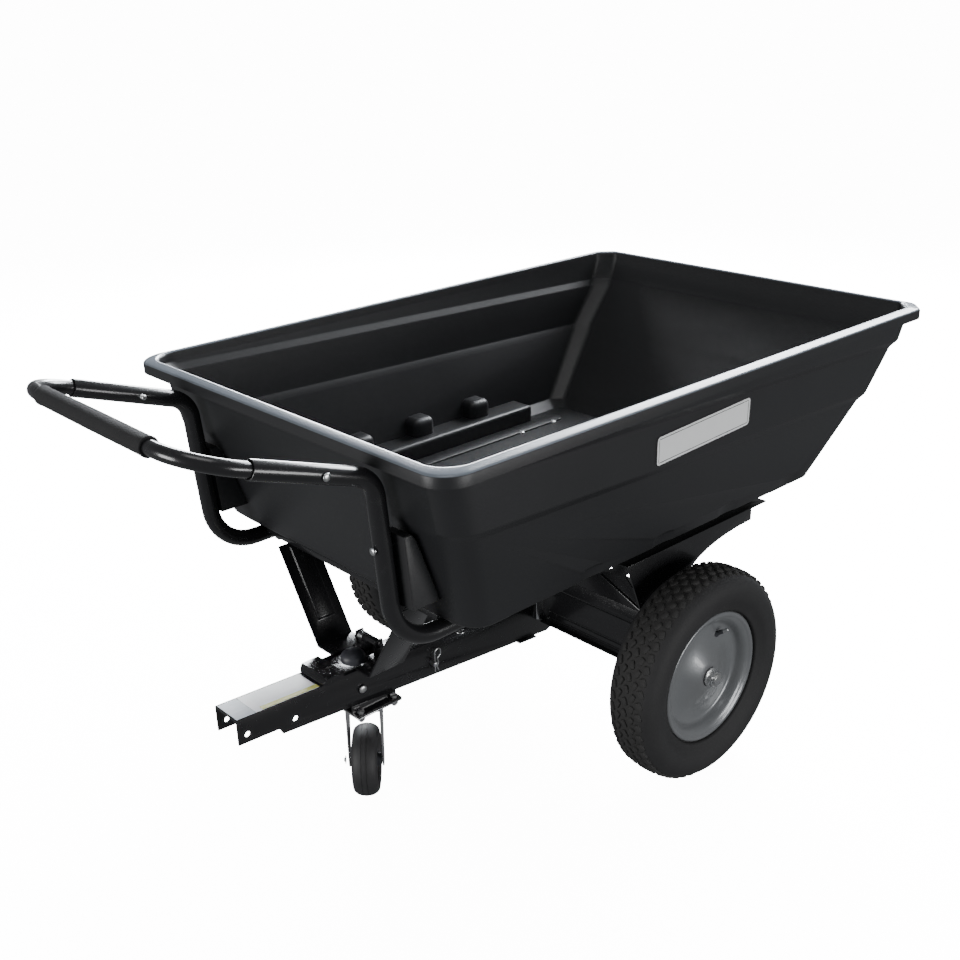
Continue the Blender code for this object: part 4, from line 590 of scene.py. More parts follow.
def smooth_line(points, steps):
    """A section line drawn through its points without corners."""
    points = [Vector((*point, 0.0)) for point in points]
    padded = [points[0] * 2 - points[1]] + points + [points[-1] * 2 - points[-2]]
    line = []
    for before, start, end, after in zip(padded, padded[1:], padded[2:], padded[3:]):
        for step in range(steps):
            share = step / steps
            leaving, arriving = (end - before) / 2, (after - start) / 2
            line.append(start * (2 * share ** 3 - 3 * share ** 2 + 1) + leaving * (share ** 3 - 2 * share ** 2 + share)
                        + end * (3 * share ** 2 - 2 * share ** 3) + arriving * (share ** 3 - share ** 2))
    line.append(points[-1])
    return [(point.x, point.y) for point in line]


def block(name, low, high, radius=0.0, segments=2):
    """A cube at its size and place, with every edge rounded."""
    low, high = Vector(low), Vector(high)
    clear()
    bpy.ops.mesh.primitive_cube_add(size=1.0, location=(low + high) / 2, scale=high - low)
    obj = bpy.context.active_object
    obj.name = name
    freeze(obj)
    if radius:
        edit(obj)
        bpy.ops.mesh.bevel(offset=radius, segments=segments, affect="EDGES", clamp_overlap=True)
        done()
    return obj


def rod(name, start, end, radius, sides=24):
    start, end = Vector(start), Vector(end)
    clear()
    bpy.ops.mesh.primitive_cylinder_add(vertices=sides, radius=radius, depth=(end - start).length)
    obj = bpy.context.active_object
    obj.name = name
    return aim(obj, (start + end) / 2, end - start)


def bent_tube(name, points, bends, radius, sides=32, wall=0.0, bend_steps=12):
    """A tube through corner points: its straights are extruded and its bends are spun."""
    points = [Vector(point) for point in points]
    clear()
    bpy.ops.mesh.primitive_circle_add(vertices=sides, radius=radius)
    obj = bpy.context.active_object
    obj.name = name
    aim(obj, points[0], points[1] - points[0])
    edit(obj)
    place = points[0]
    for corner, after, bend in zip(points[1:-1], points[2:], bends):
        incoming = (corner - place).normalized()
        outgoing = (after - corner).normalized()
        angle = incoming.angle(outgoing)
        reach = bend * tan(angle / 2)
        axis = incoming.cross(outgoing).normalized()
        start = corner - incoming * reach
        pull(start - place)
        bpy.ops.mesh.spin(steps=bend_steps, angle=-angle, axis=axis, center=start + axis.cross(incoming) * bend)
        place = corner + outgoing * reach
    pull(points[-1] - place)
    done()
    tidy_up(obj)
    if wall:
        modify(obj, "SOLIDIFY", thickness=wall, offset=-1.0)
        soften(obj, wall * 0.35, 2, 60.0)
    else:
        edit(obj)
        bpy.ops.mesh.fill_holes(sides=0)
        done()
        tidy_up(obj)
    return obj


def softened(node, width, segments=2):
    """A copy of a CAD piece as one clean mesh, with its edges rounded."""
    hold(frame["nodes"][node])
    bpy.ops.object.duplicate()
    obj = bpy.context.active_object
    obj.name = node + "_fine"
    edit(obj)
    bpy.ops.mesh.remove_doubles(threshold=1e-6)
    bpy.ops.mesh.dissolve_limited(angle_limit=radians(0.5))
    done()
    obj.location.x -= AXLE.x
    freeze(obj)
    if width:
        soften(obj, width, segments, 25.0)
    return obj


def settle(obj, look, body, slot, *nodes, sharp=32.0):
    """Sets a finished piece in the model's frame, in place of its CAD nodes, and on its body."""
    obj.location.x += AXLE.x
    freeze(obj)
    bpy.ops.object.shade_smooth_by_angle(angle=radians(sharp))
    if look is not None:
        obj.data.materials.clear()
        obj.data.materials.append(look_of(look))
    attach(obj, body)
    if nodes:
        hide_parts(*nodes)
    return obj


# Tub

RIM_CREST_Z = 0.725
WALL_TOP_Z = 0.7085
SKIRT_LOW_Z = 0.703
TUB_SHEET = 0.004
TUB_INSIDE = ((0.4300, 0.2970, -0.4620, 0.3450), (0.4435, 0.3233, -0.4763, 0.3600),
              (0.5855, 0.3532, -0.5288, 0.4700), (0.5975, 0.3617, -0.5368, 0.4820),
              (0.6745, 0.3655, -0.5530, 0.5470), (0.6865, 0.3740, -0.5610, 0.5590),
              (WALL_TOP_Z, 0.3760, -0.5630, 0.5760))
LEDGE_FALL = 0.034
RIM_CORNERS = ((0.0045, 0.7205, 0.0045, 180.0, 74.0), (0.0145, 0.7168, 0.0055, 74.0, 8.0))
CORNER_STEPS = 5
FRONT_CORNER = 0.034
REAR_CHAMFER = 0.021
REAR_SOFTENING = 0.005
LEDGE_SOFTENING = 0.0022
BENCH_FRONT_X = -0.414
BENCH_REAR_X = 0.239
BENCH_TOP_Z = 0.464
BENCH_INNER_Y = 0.276
PAD_TOP_Z = 0.499
PAD_INNER_Y = 0.298
PAD_PLACES = (-0.185, -0.035, 0.115)
PAD_HALF = 0.026
RECESS_TOP_Z = 0.442
POCKET_PLACES = (-0.238, -0.066, 0.104, 0.281)
POCKET_TOP_Z = 0.467
POCKET_DEPTH = 0.0030
SCALLOP_RADIUS = 0.120


def tub_rings():
    """Height, half width, front and rear of the sheet's upper side: floor, walls, sloping rim and skirt."""
    rings = list(TUB_INSIDE)
    _, half, front, rear = rings[-1]
    for out, height, size, start, end in RIM_CORNERS:
        for step in range(CORNER_STEPS + 1):
            angle = radians(start + (end - start) * step / CORNER_STEPS)
            reach = out + size * cos(angle)
            rings.append((height + size * sin(angle), half + reach, front - reach, rear + reach))
    _, half, front, rear = rings[-1]
    rings.append((SKIRT_LOW_Z, half, front, rear))
    return rings


def raise_wall(rings):
    """Extrudes the selected edges from ring to ring, stretching each to its size."""
    for (z, half, front, rear), (next_z, next_half, next_front, next_rear) in zip(rings, rings[1:]):
        middle = (front + rear) / 2
        bpy.ops.mesh.extrude_edges_move(TRANSFORM_OT_translate={"value": (0.0, 0.0, next_z - z)})
        stretch = ((next_rear - next_front) / (rear - front), next_half / half, 1.0)
        bpy.ops.transform.resize(value=stretch, center_override=(middle, 0.0, next_z))
        bpy.ops.transform.translate(value=((next_front + next_rear) / 2 - middle, 0.0, 0.0))
    for z, _, _, _ in TUB_INSIDE[2:6]:
        pick("VERT", lambda place, _: abs(place.z - z) < 0.001)
        bpy.ops.transform.rotate(value=-LEDGE_FALL, orient_axis="Y", center_override=(0.0, 0.0, z))


def tub_shell():
    rings = tub_rings()
    z, half, front, rear = rings[0]
    clear()
    bpy.ops.mesh.primitive_plane_add(size=1.0, location=((front + rear) / 2, 0.0, z))
    shell = bpy.context.active_object
    shell.name = "tub_fine"
    shell.scale = (rear - front, 2 * half, 1.0)
    freeze(shell)
    edit(shell)
    pick("VERT", lambda place, _: place.x < 0)
    bpy.ops.mesh.bevel(offset=FRONT_CORNER, segments=10, affect="VERTICES")
    pick("VERT", lambda place, _: place.x > 0)
    bpy.ops.mesh.bevel(offset=REAR_CHAMFER, segments=1, affect="VERTICES")
    pick("VERT", lambda place, _: place.x > 0)
    bpy.ops.mesh.bevel(offset=REAR_SOFTENING, segments=3, affect="VERTICES")
    pick("EDGE", lambda place, _: True)
    raise_wall(rings)
    bpy.ops.mesh.select_all(action="SELECT")
    bpy.ops.mesh.remove_doubles(threshold=1e-5)
    bpy.ops.mesh.normals_make_consistent(inside=False)
    done()
    floor = max(shell.data.polygons, key=lambda face: face.area if abs(face.normal.z) > 0.99 else 0.0)
    if floor.normal.z < 0:
        edit(shell)
        bpy.ops.mesh.flip_normals()
        done()
    soften(shell, LEDGE_SOFTENING, 3, 24.0)
    modify(shell, "SOLIDIFY", thickness=TUB_SHEET, offset=-1.0, use_even_offset=True)
    return shell


def rounded_inside(obj, radius):
    """Rounds a moulded form's edges, apart from those inside the tub's wall and floor."""
    edit(obj, False)
    reach = max(abs(vertex.co.y) for vertex in obj.data.vertices)
    low = min(vertex.co.z for vertex in obj.data.vertices)
    pick("EDGE", lambda place, _: abs(place.y) < reach - 0.012 and place.z > low + 0.002)
    bpy.ops.mesh.bevel(offset=radius, segments=5, affect="EDGES", clamp_overlap=True)
    done()
    return obj


def make_tub():
    tub = tub_shell()
    floor_z = TUB_INSIDE[0][0]
    for word, side in SIDES:
        outline = [(BENCH_INNER_Y, floor_z - 0.002), (BENCH_INNER_Y, BENCH_TOP_Z), (0.3298, BENCH_TOP_Z),
                   (0.3250, 0.4425), (0.2990, floor_z - 0.002)]
        bench = plate("bench_" + word, [(side * y, z) for y, z in outline], "X", BENCH_FRONT_X, BENCH_REAR_X)
        add_on(tub, rounded_inside(bench, 0.012))
        for station in PAD_PLACES:
            outline = [(PAD_INNER_Y, BENCH_TOP_Z - 0.003), (PAD_INNER_Y, PAD_TOP_Z), (0.3370, PAD_TOP_Z),
                       (0.3295, BENCH_TOP_Z - 0.003)]
            pad = plate("pad", [(side * y, z) for y, z in outline], "X", station - PAD_HALF, station + PAD_HALF)
            add_on(tub, rounded_inside(pad, 0.014))
        add_on(tub, floor_ridge(side, floor_z))
        add_on(tub, leg_boss(side))

        low, high = sorted((side * (BENCH_INNER_Y + TUB_SHEET), side * 0.316))
        cut(tub, block("bench_recess", (BENCH_FRONT_X + TUB_SHEET, low, 0.39),
                       (BENCH_REAR_X - TUB_SHEET, high, BENCH_TOP_Z - TUB_SHEET), 0.006, 3))
        low, high = sorted((side * 0.312, side * 0.43))
        cut(tub, block("edge_recess", (BENCH_FRONT_X + TUB_SHEET, low, 0.39),
                       (BENCH_REAR_X - TUB_SHEET, high, RECESS_TOP_Z), 0.003, 2))
        for station in POCKET_PLACES:
            cut(tub, edge_pocket(side, station))
    settle(tub, tub_plastic, "tub_frame", "charcoal_tub_plastic", "tub", sharp=28.0)


def floor_ridge(side, floor_z):
    """A long bead with round ends beside a bench."""
    ridge = plate("floor_ridge", [(-0.420, side * 0.236), (0.296, side * 0.236), (0.296, side * 0.272),
                                  (-0.420, side * 0.272)], "Z", floor_z - 0.002, floor_z + 0.0035)
    edit(ridge, False)
    pick("EDGE", lambda place, way: abs(way.z) > 0.9)
    bpy.ops.mesh.bevel(offset=0.0175, segments=6, affect="EDGES")
    pick("EDGE", lambda place, way: place.z > floor_z + 0.003)
    bpy.ops.mesh.bevel(offset=0.002, segments=2, affect="EDGES")
    done()
    return ridge


def edge_pocket(side, station):
    """A wide shallow scallop up the outside of the wall from its lower edge, following its lean."""
    (low_z, low_half, _, _), (high_z, high_half, _, _) = TUB_INSIDE[1:3]
    lean = atan2(high_half - low_half, high_z - low_z)
    up = Vector((0.0, side * sin(lean), cos(lean)))
    out = Vector((0.0, side * cos(lean), -sin(lean)))
    foot = Vector((station, side * (low_half + TUB_SHEET), low_z)) + out * (SCALLOP_RADIUS - POCKET_DEPTH)
    roller = rod("edge_scallop", foot - up * 0.020, foot + up * (POCKET_TOP_Z - low_z), SCALLOP_RADIUS, 96)
    return soften(roller, 0.010, 4)


def leg_boss(side):
    """The pad on the front wall that a leg is bolted to."""
    boss = plate("leg_boss", [(-0.5524, 0.596), (-0.5430, 0.480), (-0.4924, 0.480), (-0.5308, 0.584),
                              (-0.5388, 0.596)], "Y", side * 0.250 - 0.022, side * 0.250 + 0.022)
    edit(boss, False)
    pick("EDGE", lambda place, way: place.x < -0.535 and abs(way.y) < 0.5)
    bpy.ops.mesh.bevel(offset=0.003, segments=2, affect="EDGES")
    done()
    return boss


STICKER_SIZE = (0.230, 0.047)
STICKER_CENTRE = Vector((-0.023, -0.3686, 0.6345))
STICKER_TILT = radians(-2.2)
STICKER_LEAN = radians(2.8)


def make_side_sticker():
    """A plain white plate with a dark line round it, on the near wall."""
    length, height = STICKER_SIZE
    corner = 0.0055
    outline = []
    for x, z, start in ((1, 1, 0), (-1, 1, 90), (-1, -1, 180), (1, -1, 270)):
        for step in range(4):
            angle = radians(start + step * 30)
            outline.append((x * (length / 2 - corner) + corner * cos(angle),
                            z * (height / 2 - corner) + corner * sin(angle)))
    sticker = plate("side_sticker", outline, "Y", -0.0006, 0.0)
    edit(sticker, False)
    pick("FACE", lambda place, way: way.y < -0.9)
    for thickness in (0.0035, 0.0012):
        bpy.ops.mesh.inset(thickness=thickness)
    done()
    for look in (label_white, label_ink):
        sticker.data.materials.append(look_of(look))
    for face in sticker.data.polygons:
        inward = min(length / 2 - abs(face.center.x), height / 2 - abs(face.center.z))
        face.material_index = 1 if face.normal.y < -0.9 and 0.0036 < inward < 0.0046 else 0
    (low_z, low_half, _, _), (high_z, high_half, _, _) = TUB_INSIDE[3:5]
    lean = (high_half - low_half) / (high_z - low_z)
    x, _, z = STICKER_CENTRE
    sticker.rotation_euler = Euler((atan2(lean, 1.0), STICKER_TILT, 0.0))
    sticker.location = (x, -low_half - TUB_SHEET - lean * (z + LEDGE_FALL * x - low_z) - 0.0004, z)
    freeze(sticker)
    settle(sticker, None, "tub_frame", "charcoal_tub_plastic", sharp=8.0)


# Tubes and handle

TUBE_RADIUS = 0.014
TUBE_Y = 0.240
TUBE_WALL = 0.0020
TUBE_CORNERS = ((-0.762, 0.747), (-0.574, 0.682), (-0.552, 0.4117), (0.290, 0.4117))
TUBE_BENDS = (0.045, 0.079)
BAR_RADIUS = 0.011
GRIP_X = -0.842
GRIP_Z = 0.7747
BAR_BEND = 0.080
HANDLE_INSERT = 0.125
FOAM_HALF = 0.150
FOAM_RADIUS = 0.0145


def make_tubes():
    for word, side in SIDES:
        points = [(x, side * TUBE_Y, z) for x, z in TUBE_CORNERS]
        tube = bent_tube("side_tube_" + word + "_fine", points, TUBE_BENDS, TUBE_RADIUS, wall=TUBE_WALL)
        settle(tube, gloss_black, "tub_frame", "gloss_black_steel", "side_tube_" + word)

    (socket_x, socket_z), (leg_x, leg_z) = TUBE_CORNERS[:2]
    inward = Vector((leg_x - socket_x, 0.0, leg_z - socket_z)).normalized() * HANDLE_INSERT
    end_x, end_z = socket_x + inward.x, socket_z + inward.z
    points = [(end_x, TUBE_Y, end_z), (GRIP_X, TUBE_Y, GRIP_Z), (GRIP_X, -TUBE_Y, GRIP_Z), (end_x, -TUBE_Y, end_z)]
    bar = bent_tube("handle_bar_fine", points, (BAR_BEND, BAR_BEND), BAR_RADIUS, bend_steps=16)
    settle(bar, gloss_black, "tub_frame", "gloss_black_steel", "handle_bar")

    inner = BAR_RADIUS + 0.0002
    section = [(-FOAM_HALF, inner)] + arc(-FOAM_HALF + 0.002, FOAM_RADIUS - 0.002, 0.002, 180, 90)
    section += [(-FOAM_HALF + 0.012, FOAM_RADIUS - 0.0006), (0.0, FOAM_RADIUS - 0.0002),
                (FOAM_HALF - 0.012, FOAM_RADIUS - 0.0006)]
    section += arc(FOAM_HALF - 0.002, FOAM_RADIUS - 0.002, 0.002, 90, 0) + [(FOAM_HALF, inner)]
    foam = turned("foam_grip_fine", section, (GRIP_X, 0.0, GRIP_Z), (0, 1, 0), 40)
    settle(foam, grip_foam, "tub_frame", "grip_foam", "foam_grip")


# Wheels

WHEEL_Y = 0.356
WHEEL_STEPS = 112
TREAD_PITCHES = 56
TREAD_ROWS = ((-0.0262, 0.1838, -20.0, 0.0, 24.0), (-0.0135, 0.1861, -8.0, 0.5, -24.0),
              (0.0, 0.1867, 0.0, 0.0, 24.0), (0.0135, 0.1861, 8.0, 0.5, -24.0),
              (0.0262, 0.1838, 20.0, 0.0, 24.0))
TREAD_DEPTH = 0.0032
TREAD_BLOCK = (0.0080, 0.0148, 0.0098)


def tyre_carcass():
    """Tyre section: a round balloon with a rim strip, its beads and its hollow."""
    side = smooth_line([(0.0300, 0.1192), (0.0340, 0.1197), (0.0366, 0.1215), (0.0384, 0.1258), (0.0412, 0.1320),
                        (0.0452, 0.1400), (0.0474, 0.1470), (0.0483, 0.1540), (0.0481, 0.1600), (0.0464, 0.1668),
                        (0.0425, 0.1736), (0.0365, 0.1788), (0.0290, 0.1825), (0.0200, 0.1850), (0.0100, 0.1863),
                        (0.0, 0.1866)], 3)
    bead = [(0.0275, 0.1040), (0.0282, 0.1100), (0.0290, 0.1170)]
    inner = [(0.0, 0.1790), (0.0280, 0.1740), (0.0420, 0.1540), (0.0205, 0.1220), (0.0205, 0.1040)]
    right = bead + side
    left = [(-along, radius) for along, radius in reversed(right[:-1])]
    hollow = [(-along, radius) for along, radius in reversed(inner[1:])] + inner
    return right + left + hollow


def tread_blocks():
    """One pitch of rounded blocks, repeated round the tyre about +Z."""
    blocks = []
    for along, radius, tilt, stagger, lean in TREAD_ROWS:
        knob = block("tread_block", [-part / 2 for part in TREAD_BLOCK], [part / 2 for part in TREAD_BLOCK],
                     0.0032, 2)
        knob.rotation_euler = Euler((radians(lean), radians(-tilt), 0.0))
        knob.location = (radius - TREAD_BLOCK[0] / 2 + TREAD_DEPTH, 0.0, along)
        freeze(knob)
        bpy.ops.transform.rotate(value=-2 * pi / TREAD_PITCHES * stagger, orient_axis="Z",
                                 center_override=(0.0, 0.0, 0.0))
        freeze(knob)
        blocks.append(knob)
    tread = join(blocks)
    edit(tread)
    bpy.ops.mesh.spin(steps=TREAD_PITCHES - 1, dupli=True, angle=2 * pi * (TREAD_PITCHES - 1) / TREAD_PITCHES,
                      center=(0.0, 0.0, 0.0), axis=(0.0, 0.0, 1.0))
    done()
    return tread


def rim_section():
    """Outer half of the pressed rim, from the hub hole out to the rolled flange and back to the well."""
    dish = [(0.0290, 0.0170)] + smooth_line([(0.0290, 0.0210), (0.0274, 0.0265), (0.0222, 0.0385), (0.0165, 0.0520),
                                             (0.0125, 0.0640), (0.0108, 0.0730)], 4)
    dish += smooth_line([(0.0108, 0.0850), (0.0116, 0.0895), (0.0142, 0.0930), (0.0180, 0.0952), (0.0225, 0.0975),
                         (0.0268, 0.1008), (0.0296, 0.1046), (0.0312, 0.1080)], 3)
    lip = smooth_line([(0.0330, 0.1096), (0.0339, 0.1125), (0.0336, 0.1152), (0.0320, 0.1172), (0.0298, 0.1172)], 3)
    return dish + lip + [(0.0286, 0.1150), (0.0280, 0.1100), (0.0262, 0.1060), (0.0230, 0.1044),
                         (0.0100, 0.1038), (0.0020, 0.0998)]


RIM_POCKET = ((0.0265, 0.0170), (0.0262, 0.0205), (0.0248, 0.0255), (0.0198, 0.0372), (0.0141, 0.0508),
              (0.0101, 0.0632), (0.0083, 0.0720), (0.0083, 0.0880))


def make_wheels():
    for word, side in SIDES:
        centre = (0.0, side * WHEEL_Y, AXLE.z)
        out = (0.0, side, 0.0)
        body = "wheel_" + word
        carcass = turned("tyre_" + word + "_fine", tyre_carcass(), steps=WHEEL_STEPS)
        tyre = join([carcass, tread_blocks()])
        aim(tyre, centre, out)
        settle(tyre, tyre_rubber, body, "tyre_rubber", "tyre_" + word)

        half = rim_section()
        section = half + [(-along, radius) for along, radius in reversed(half)]
        section += [(-along, radius) for along, radius in RIM_POCKET] + list(reversed(RIM_POCKET))
        rim = turned("rim_" + word + "_fine", section, steps=96)
        aim(rim, centre, out)
        settle(rim, rim_paint, body, "grey_rim_paint", "rim_" + word)

        inboard = WHEEL_Y - 0.2853
        section = [(-inboard, 0.0104), (0.0308, 0.0104)] + arc(0.0298, 0.0152, 0.0010, 0, 90, 3)
        section += arc(-inboard + 0.0010, 0.0155, 0.0010, 90, 180, 3)
        hub = turned("hub_" + word + "_fine", section, steps=48)
        aim(hub, centre, out)
        settle(hub, rim_paint, body, "grey_rim_paint", "hub_" + word)
        make_valve(word, centre, out, body)


def make_valve(word, centre, out, body):
    """Rubber stem that leans outwards from its hole in the dish, with a ribbed metal cap."""
    angle = radians(58.0)
    outward = Vector((cos(angle), 0.0, sin(angle)))
    foot = Vector(centre) + outward * 0.070 + Vector(out) * 0.0092
    lean = outward * 0.62 + Vector(out) * 0.78
    section = [(0.0, 0.0)] + [(0.0, 0.0058), (0.0010, 0.0062), (0.0030, 0.0052), (0.0060, 0.0040), (0.0150, 0.0037),
                              (0.0155, 0.0034), (0.0156, 0.0)]
    stem = turned("valve_" + word + "_fine", section, foot, lean, 24, closed=False)
    section = [(0.0156, 0.0), (0.0156, 0.0032)]
    for rib in range(5):
        section += [(0.0160 + 0.0016 * rib, 0.0033), (0.0168 + 0.0016 * rib, 0.0030)]
    section += [(0.0245, 0.0031), (0.0256, 0.0022), (0.0258, 0.0)]
    cap = turned("valve_cap_" + word, section, foot, lean, 24, closed=False)
    settle(stem, black_plastic, body, "black_plastic", "valve_" + word)
    settle(cap, zinc_plate, body, "zinc_plate")


def hex_nut(name, across, height, bore, flange=0.0, flange_height=0.0):
    """A nut on +Z: six flats, chamfered corners, a flange and a bore."""
    corner = across / sqrt(3.0)
    clear()
    bpy.ops.mesh.primitive_cylinder_add(vertices=6, radius=corner, depth=height,
                                        location=(0.0, 0.0, flange_height + height / 2))
    nut = bpy.context.active_object
    nut.name = name
    freeze(nut)
    top = flange_height + height
    taper = turned("nut_taper", [(0.0, 0.0), (0.0, corner * 1.2), (top - height * 0.16, corner * 1.1),
                                 (top, corner * 0.90), (top, 0.0)], closed=False, steps=36)
    cut(nut, taper, "INTERSECT")
    if flange:
        ring = turned("nut_flange", [(0.0, 0.0), (0.0, flange)]
                      + arc(flange_height * 0.5, flange - 0.0006, 0.0006, 0, 90, 2)
                      + [(flange_height * 1.25, corner * 0.9), (flange_height * 1.25, 0.0)], closed=False, steps=36)
        add_on(nut, ring)
    if bore:
        cut(nut, rod("nut_bore", (0, 0, -height), (0, 0, 2 * top), bore, 24))
    return nut


def make_axle():
    """Axle shaft with its threaded ends, and the flange nuts."""
    reach = 0.4035
    thread = 0.022
    pitch = 0.0015
    end = []
    for turn in range(int(thread / pitch)):
        station = reach - 0.0012 - thread + turn * pitch
        end += [(station, 0.0099), (station + pitch * 0.5, 0.0090)]
    end += [(reach - 0.0012, 0.0098), (reach, 0.0085), (reach, 0.0)]
    section = [(-along, radius) for along, radius in reversed(end)] + end
    shaft = turned("axle_shaft_fine", section, (0, 0, AXLE.z), (0, 1, 0), 32, closed=False)
    settle(shaft, zinc_plate, "tub_frame", "zinc_plate", "axle_shaft")
    for word, side in SIDES:
        nut = hex_nut("axle_nut_" + word + "_fine", 0.0245, 0.0095, 0.0101, 0.017, 0.0025)
        aim(nut, (0.0, side * (WHEEL_Y + 0.0313), AXLE.z), (0, side, 0))
        settle(nut, zinc_plate, "tub_frame", "zinc_plate", "axle_nut_" + word)


# Fasteners: each is modelled at its own size and set in its place

BOLT_SHANK = 0.0039
THREAD_PITCH = 0.00125


def shank_section(low, high, threaded):
    """A shank whose lower stretch is threaded, as (along, radius) points from the bottom up."""
    section = [(low, 0.0), (low, BOLT_SHANK * 0.82)]
    turns = int(threaded / THREAD_PITCH)
    for turn in range(turns):
        station = low + 0.0006 + turn * THREAD_PITCH
        section += [(station, BOLT_SHANK * 0.86), (station + THREAD_PITCH / 2, BOLT_SHANK)]
    return section + [(low + 0.0006 + turns * THREAD_PITCH, BOLT_SHANK), (high, BOLT_SHANK)]


def carriage_bolt(name, length, head_radius, nut=True):
    """Domed head at the top, z = 0, shank downwards, and a nut with its washer at the end."""
    dome = min(0.0036, head_radius * 0.48)
    section = shank_section(-length, -dome, 0.010) + [(-dome, head_radius * 0.96)]
    section += [(-dome + 0.0007, head_radius)]
    section += [(-dome + 0.0007 + (dome - 0.0007) * sin(radians(step * 15)), head_radius * cos(radians(step * 15)))
                for step in range(1, 6)] + [(0.0, 0.0)]
    bolt = turned(name, section, steps=32, closed=False)
    if nut:
        hexagon = hex_nut("nut", 1.70 * head_radius, 0.0050, 0.0, head_radius * 0.99, 0.0008)
        hexagon.location.z = -length + 0.0026
        freeze(hexagon)
        bolt = add_on(bolt, hexagon)
    return bolt


def hex_bolt(name, length, head_radius, nut=True):
    """Hexagon head with a washer face at the top, and a nut at the end."""
    bolt = turned(name, shank_section(-length, -0.0020, 0.010) + [(-0.0020, 0.0)], steps=24, closed=False)
    head = hex_nut("head", 1.70 * head_radius, 0.0042, 0.0, head_radius * 0.99, 0.0008)
    head.location.z = -0.0050
    freeze(head)
    bolt = add_on(bolt, head)
    if nut:
        hexagon = hex_nut("nut", 1.70 * head_radius, 0.0050, 0.0, head_radius * 0.99, 0.0008)
        hexagon.location.z = -length + 0.0026
        freeze(hexagon)
        bolt = add_on(bolt, hexagon)
    return bolt


AXES = {"X": Vector((1.0, 0.0, 0.0)), "Y": Vector((0.0, 1.0, 0.0)), "Z": Vector((0.0, 0.0, 1.0))}
BOLTS = {"handle_bolt_near": (carriage_bolt, "Y", -1), "handle_bolt_far": (carriage_bolt, "Y", 1),
         "leg_bolt_near": (carriage_bolt, "X", -1), "leg_bolt_far": (carriage_bolt, "X", -1),
         "stop_bolt": (hex_bolt, "Z", -1), "catch_bolt": (carriage_bolt, "Y", -1)}
for _end in ("front", "middle", "rear"):
    for _word, _ in SIDES:
        BOLTS["floor_bolt_%s_%s" % (_end, _word)] = (carriage_bolt, "Z", 1)
for _word, _ in SIDES:
    BOLTS["cross_member_bolt_" + _word] = (carriage_bolt, "Z", 1)
    for _end in ("front", "rear"):
        BOLTS["caster_bolt_%s_%s" % (_end, _word)] = (hex_bolt, "Z", 1)


def make_bolts():
    body_of = {node: body for body, nodes in frame["record"]["behaviour"]["bodies"].items() for node in nodes}
    for node, (form, letter, way) in BOLTS.items():
        low, high = (Vector(corner) - Vector((AXLE.x, 0.0, 0.0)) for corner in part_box(node))
        axis = AXES[letter] * way
        middle = (low + high) / 2
        half = abs((high - low).dot(axis)) / 2
        across = min((high - low)["XYZ".index(other)] for other in "XYZ" if other != letter)
        bolt = form(node + "_fine", 2 * half, across / 2)
        aim(bolt, middle + axis * half, axis)
        settle(bolt, zinc_plate, body_of[node], "zinc_plate", node)


def make_pins():
    """Clevis pin with its wire clip, and the latch pin."""
    low, high = (Vector(corner) - Vector((AXLE.x, 0.0, 0.0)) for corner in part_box("clevis_pin"))
    x, z = (low.x + high.x) / 2, (low.z + high.z) / 2
    section = [(-high.y, 0.0)] + arc(-high.y + 0.0012, 0.0066, 0.0012, 180, 90, 3)
    section += [(-high.y + 0.0032, 0.0078), (-high.y + 0.0034, 0.0050), (-low.y - 0.0020, 0.0050),
                (-low.y - 0.0006, 0.0040), (-low.y, 0.0028), (-low.y, 0.0)]
    pin = turned("clevis_pin_fine", section, (x, 0.0, z), (0, -1, 0), 32, closed=False)
    settle(pin, zinc_plate, "drawbar", "zinc_plate", "clevis_pin")
    make_wire_clip(x, z)

    low, high = (Vector(corner) - Vector((AXLE.x, 0.0, 0.0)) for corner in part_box("latch_pin"))
    half, radius = high.y, (high.x - low.x) / 2
    head = [(half, 0.0), (half - 0.0002, radius * 0.55), (half - 0.0008, radius * 0.9), (half - 0.0014, radius),
            (half - 0.0020, radius), (half - 0.0021, 0.0039)]
    section = [(-along, size) for along, size in head] + [(along, size) for along, size in reversed(head)]
    pin = turned("latch_pin_fine", section, ((low.x + high.x) / 2, 0.0, (low.z + high.z) / 2), (0, 1, 0), 32,
                 closed=False)
    settle(pin, gloss_black, "tub_frame", "zinc_plate", "latch_pin")


def make_wire_clip(x, z):
    """Spring clip of round wire through the clevis pin: one straight leg, a loop and a bent leg."""
    y = -0.0391
    points = [(x + 0.0010, y, z - 0.0165), (x + 0.0010, y, z + 0.0262), (x + 0.0140, y, z + 0.0262),
              (x + 0.0140, y, z + 0.0140), (x + 0.0062, y, z + 0.0085), (x + 0.0088, y, z - 0.0010),
              (x + 0.0050, y, z - 0.0075), (x + 0.0085, y, z - 0.0160)]
    clip = bent_tube("wire_clip_fine", points, (0.0064, 0.0050, 0.0030, 0.0025, 0.0030, 0.0025), 0.0012, 12,
                     bend_steps=8)
    settle(clip, zinc_plate, "drawbar", "zinc_plate", "wire_clip")


# Frame: sheet metal with rounded edges, swages and beads

BEAM_FACE_X = -0.045
SWAGE_HEIGHTS = (0.193, 0.206, 0.258)
SWAGE_RADIUS = 0.0034
GUSSET_BEAD = ((-0.0452, 0.176, 0.3260), (-0.0452, 0.2700, 0.2880))


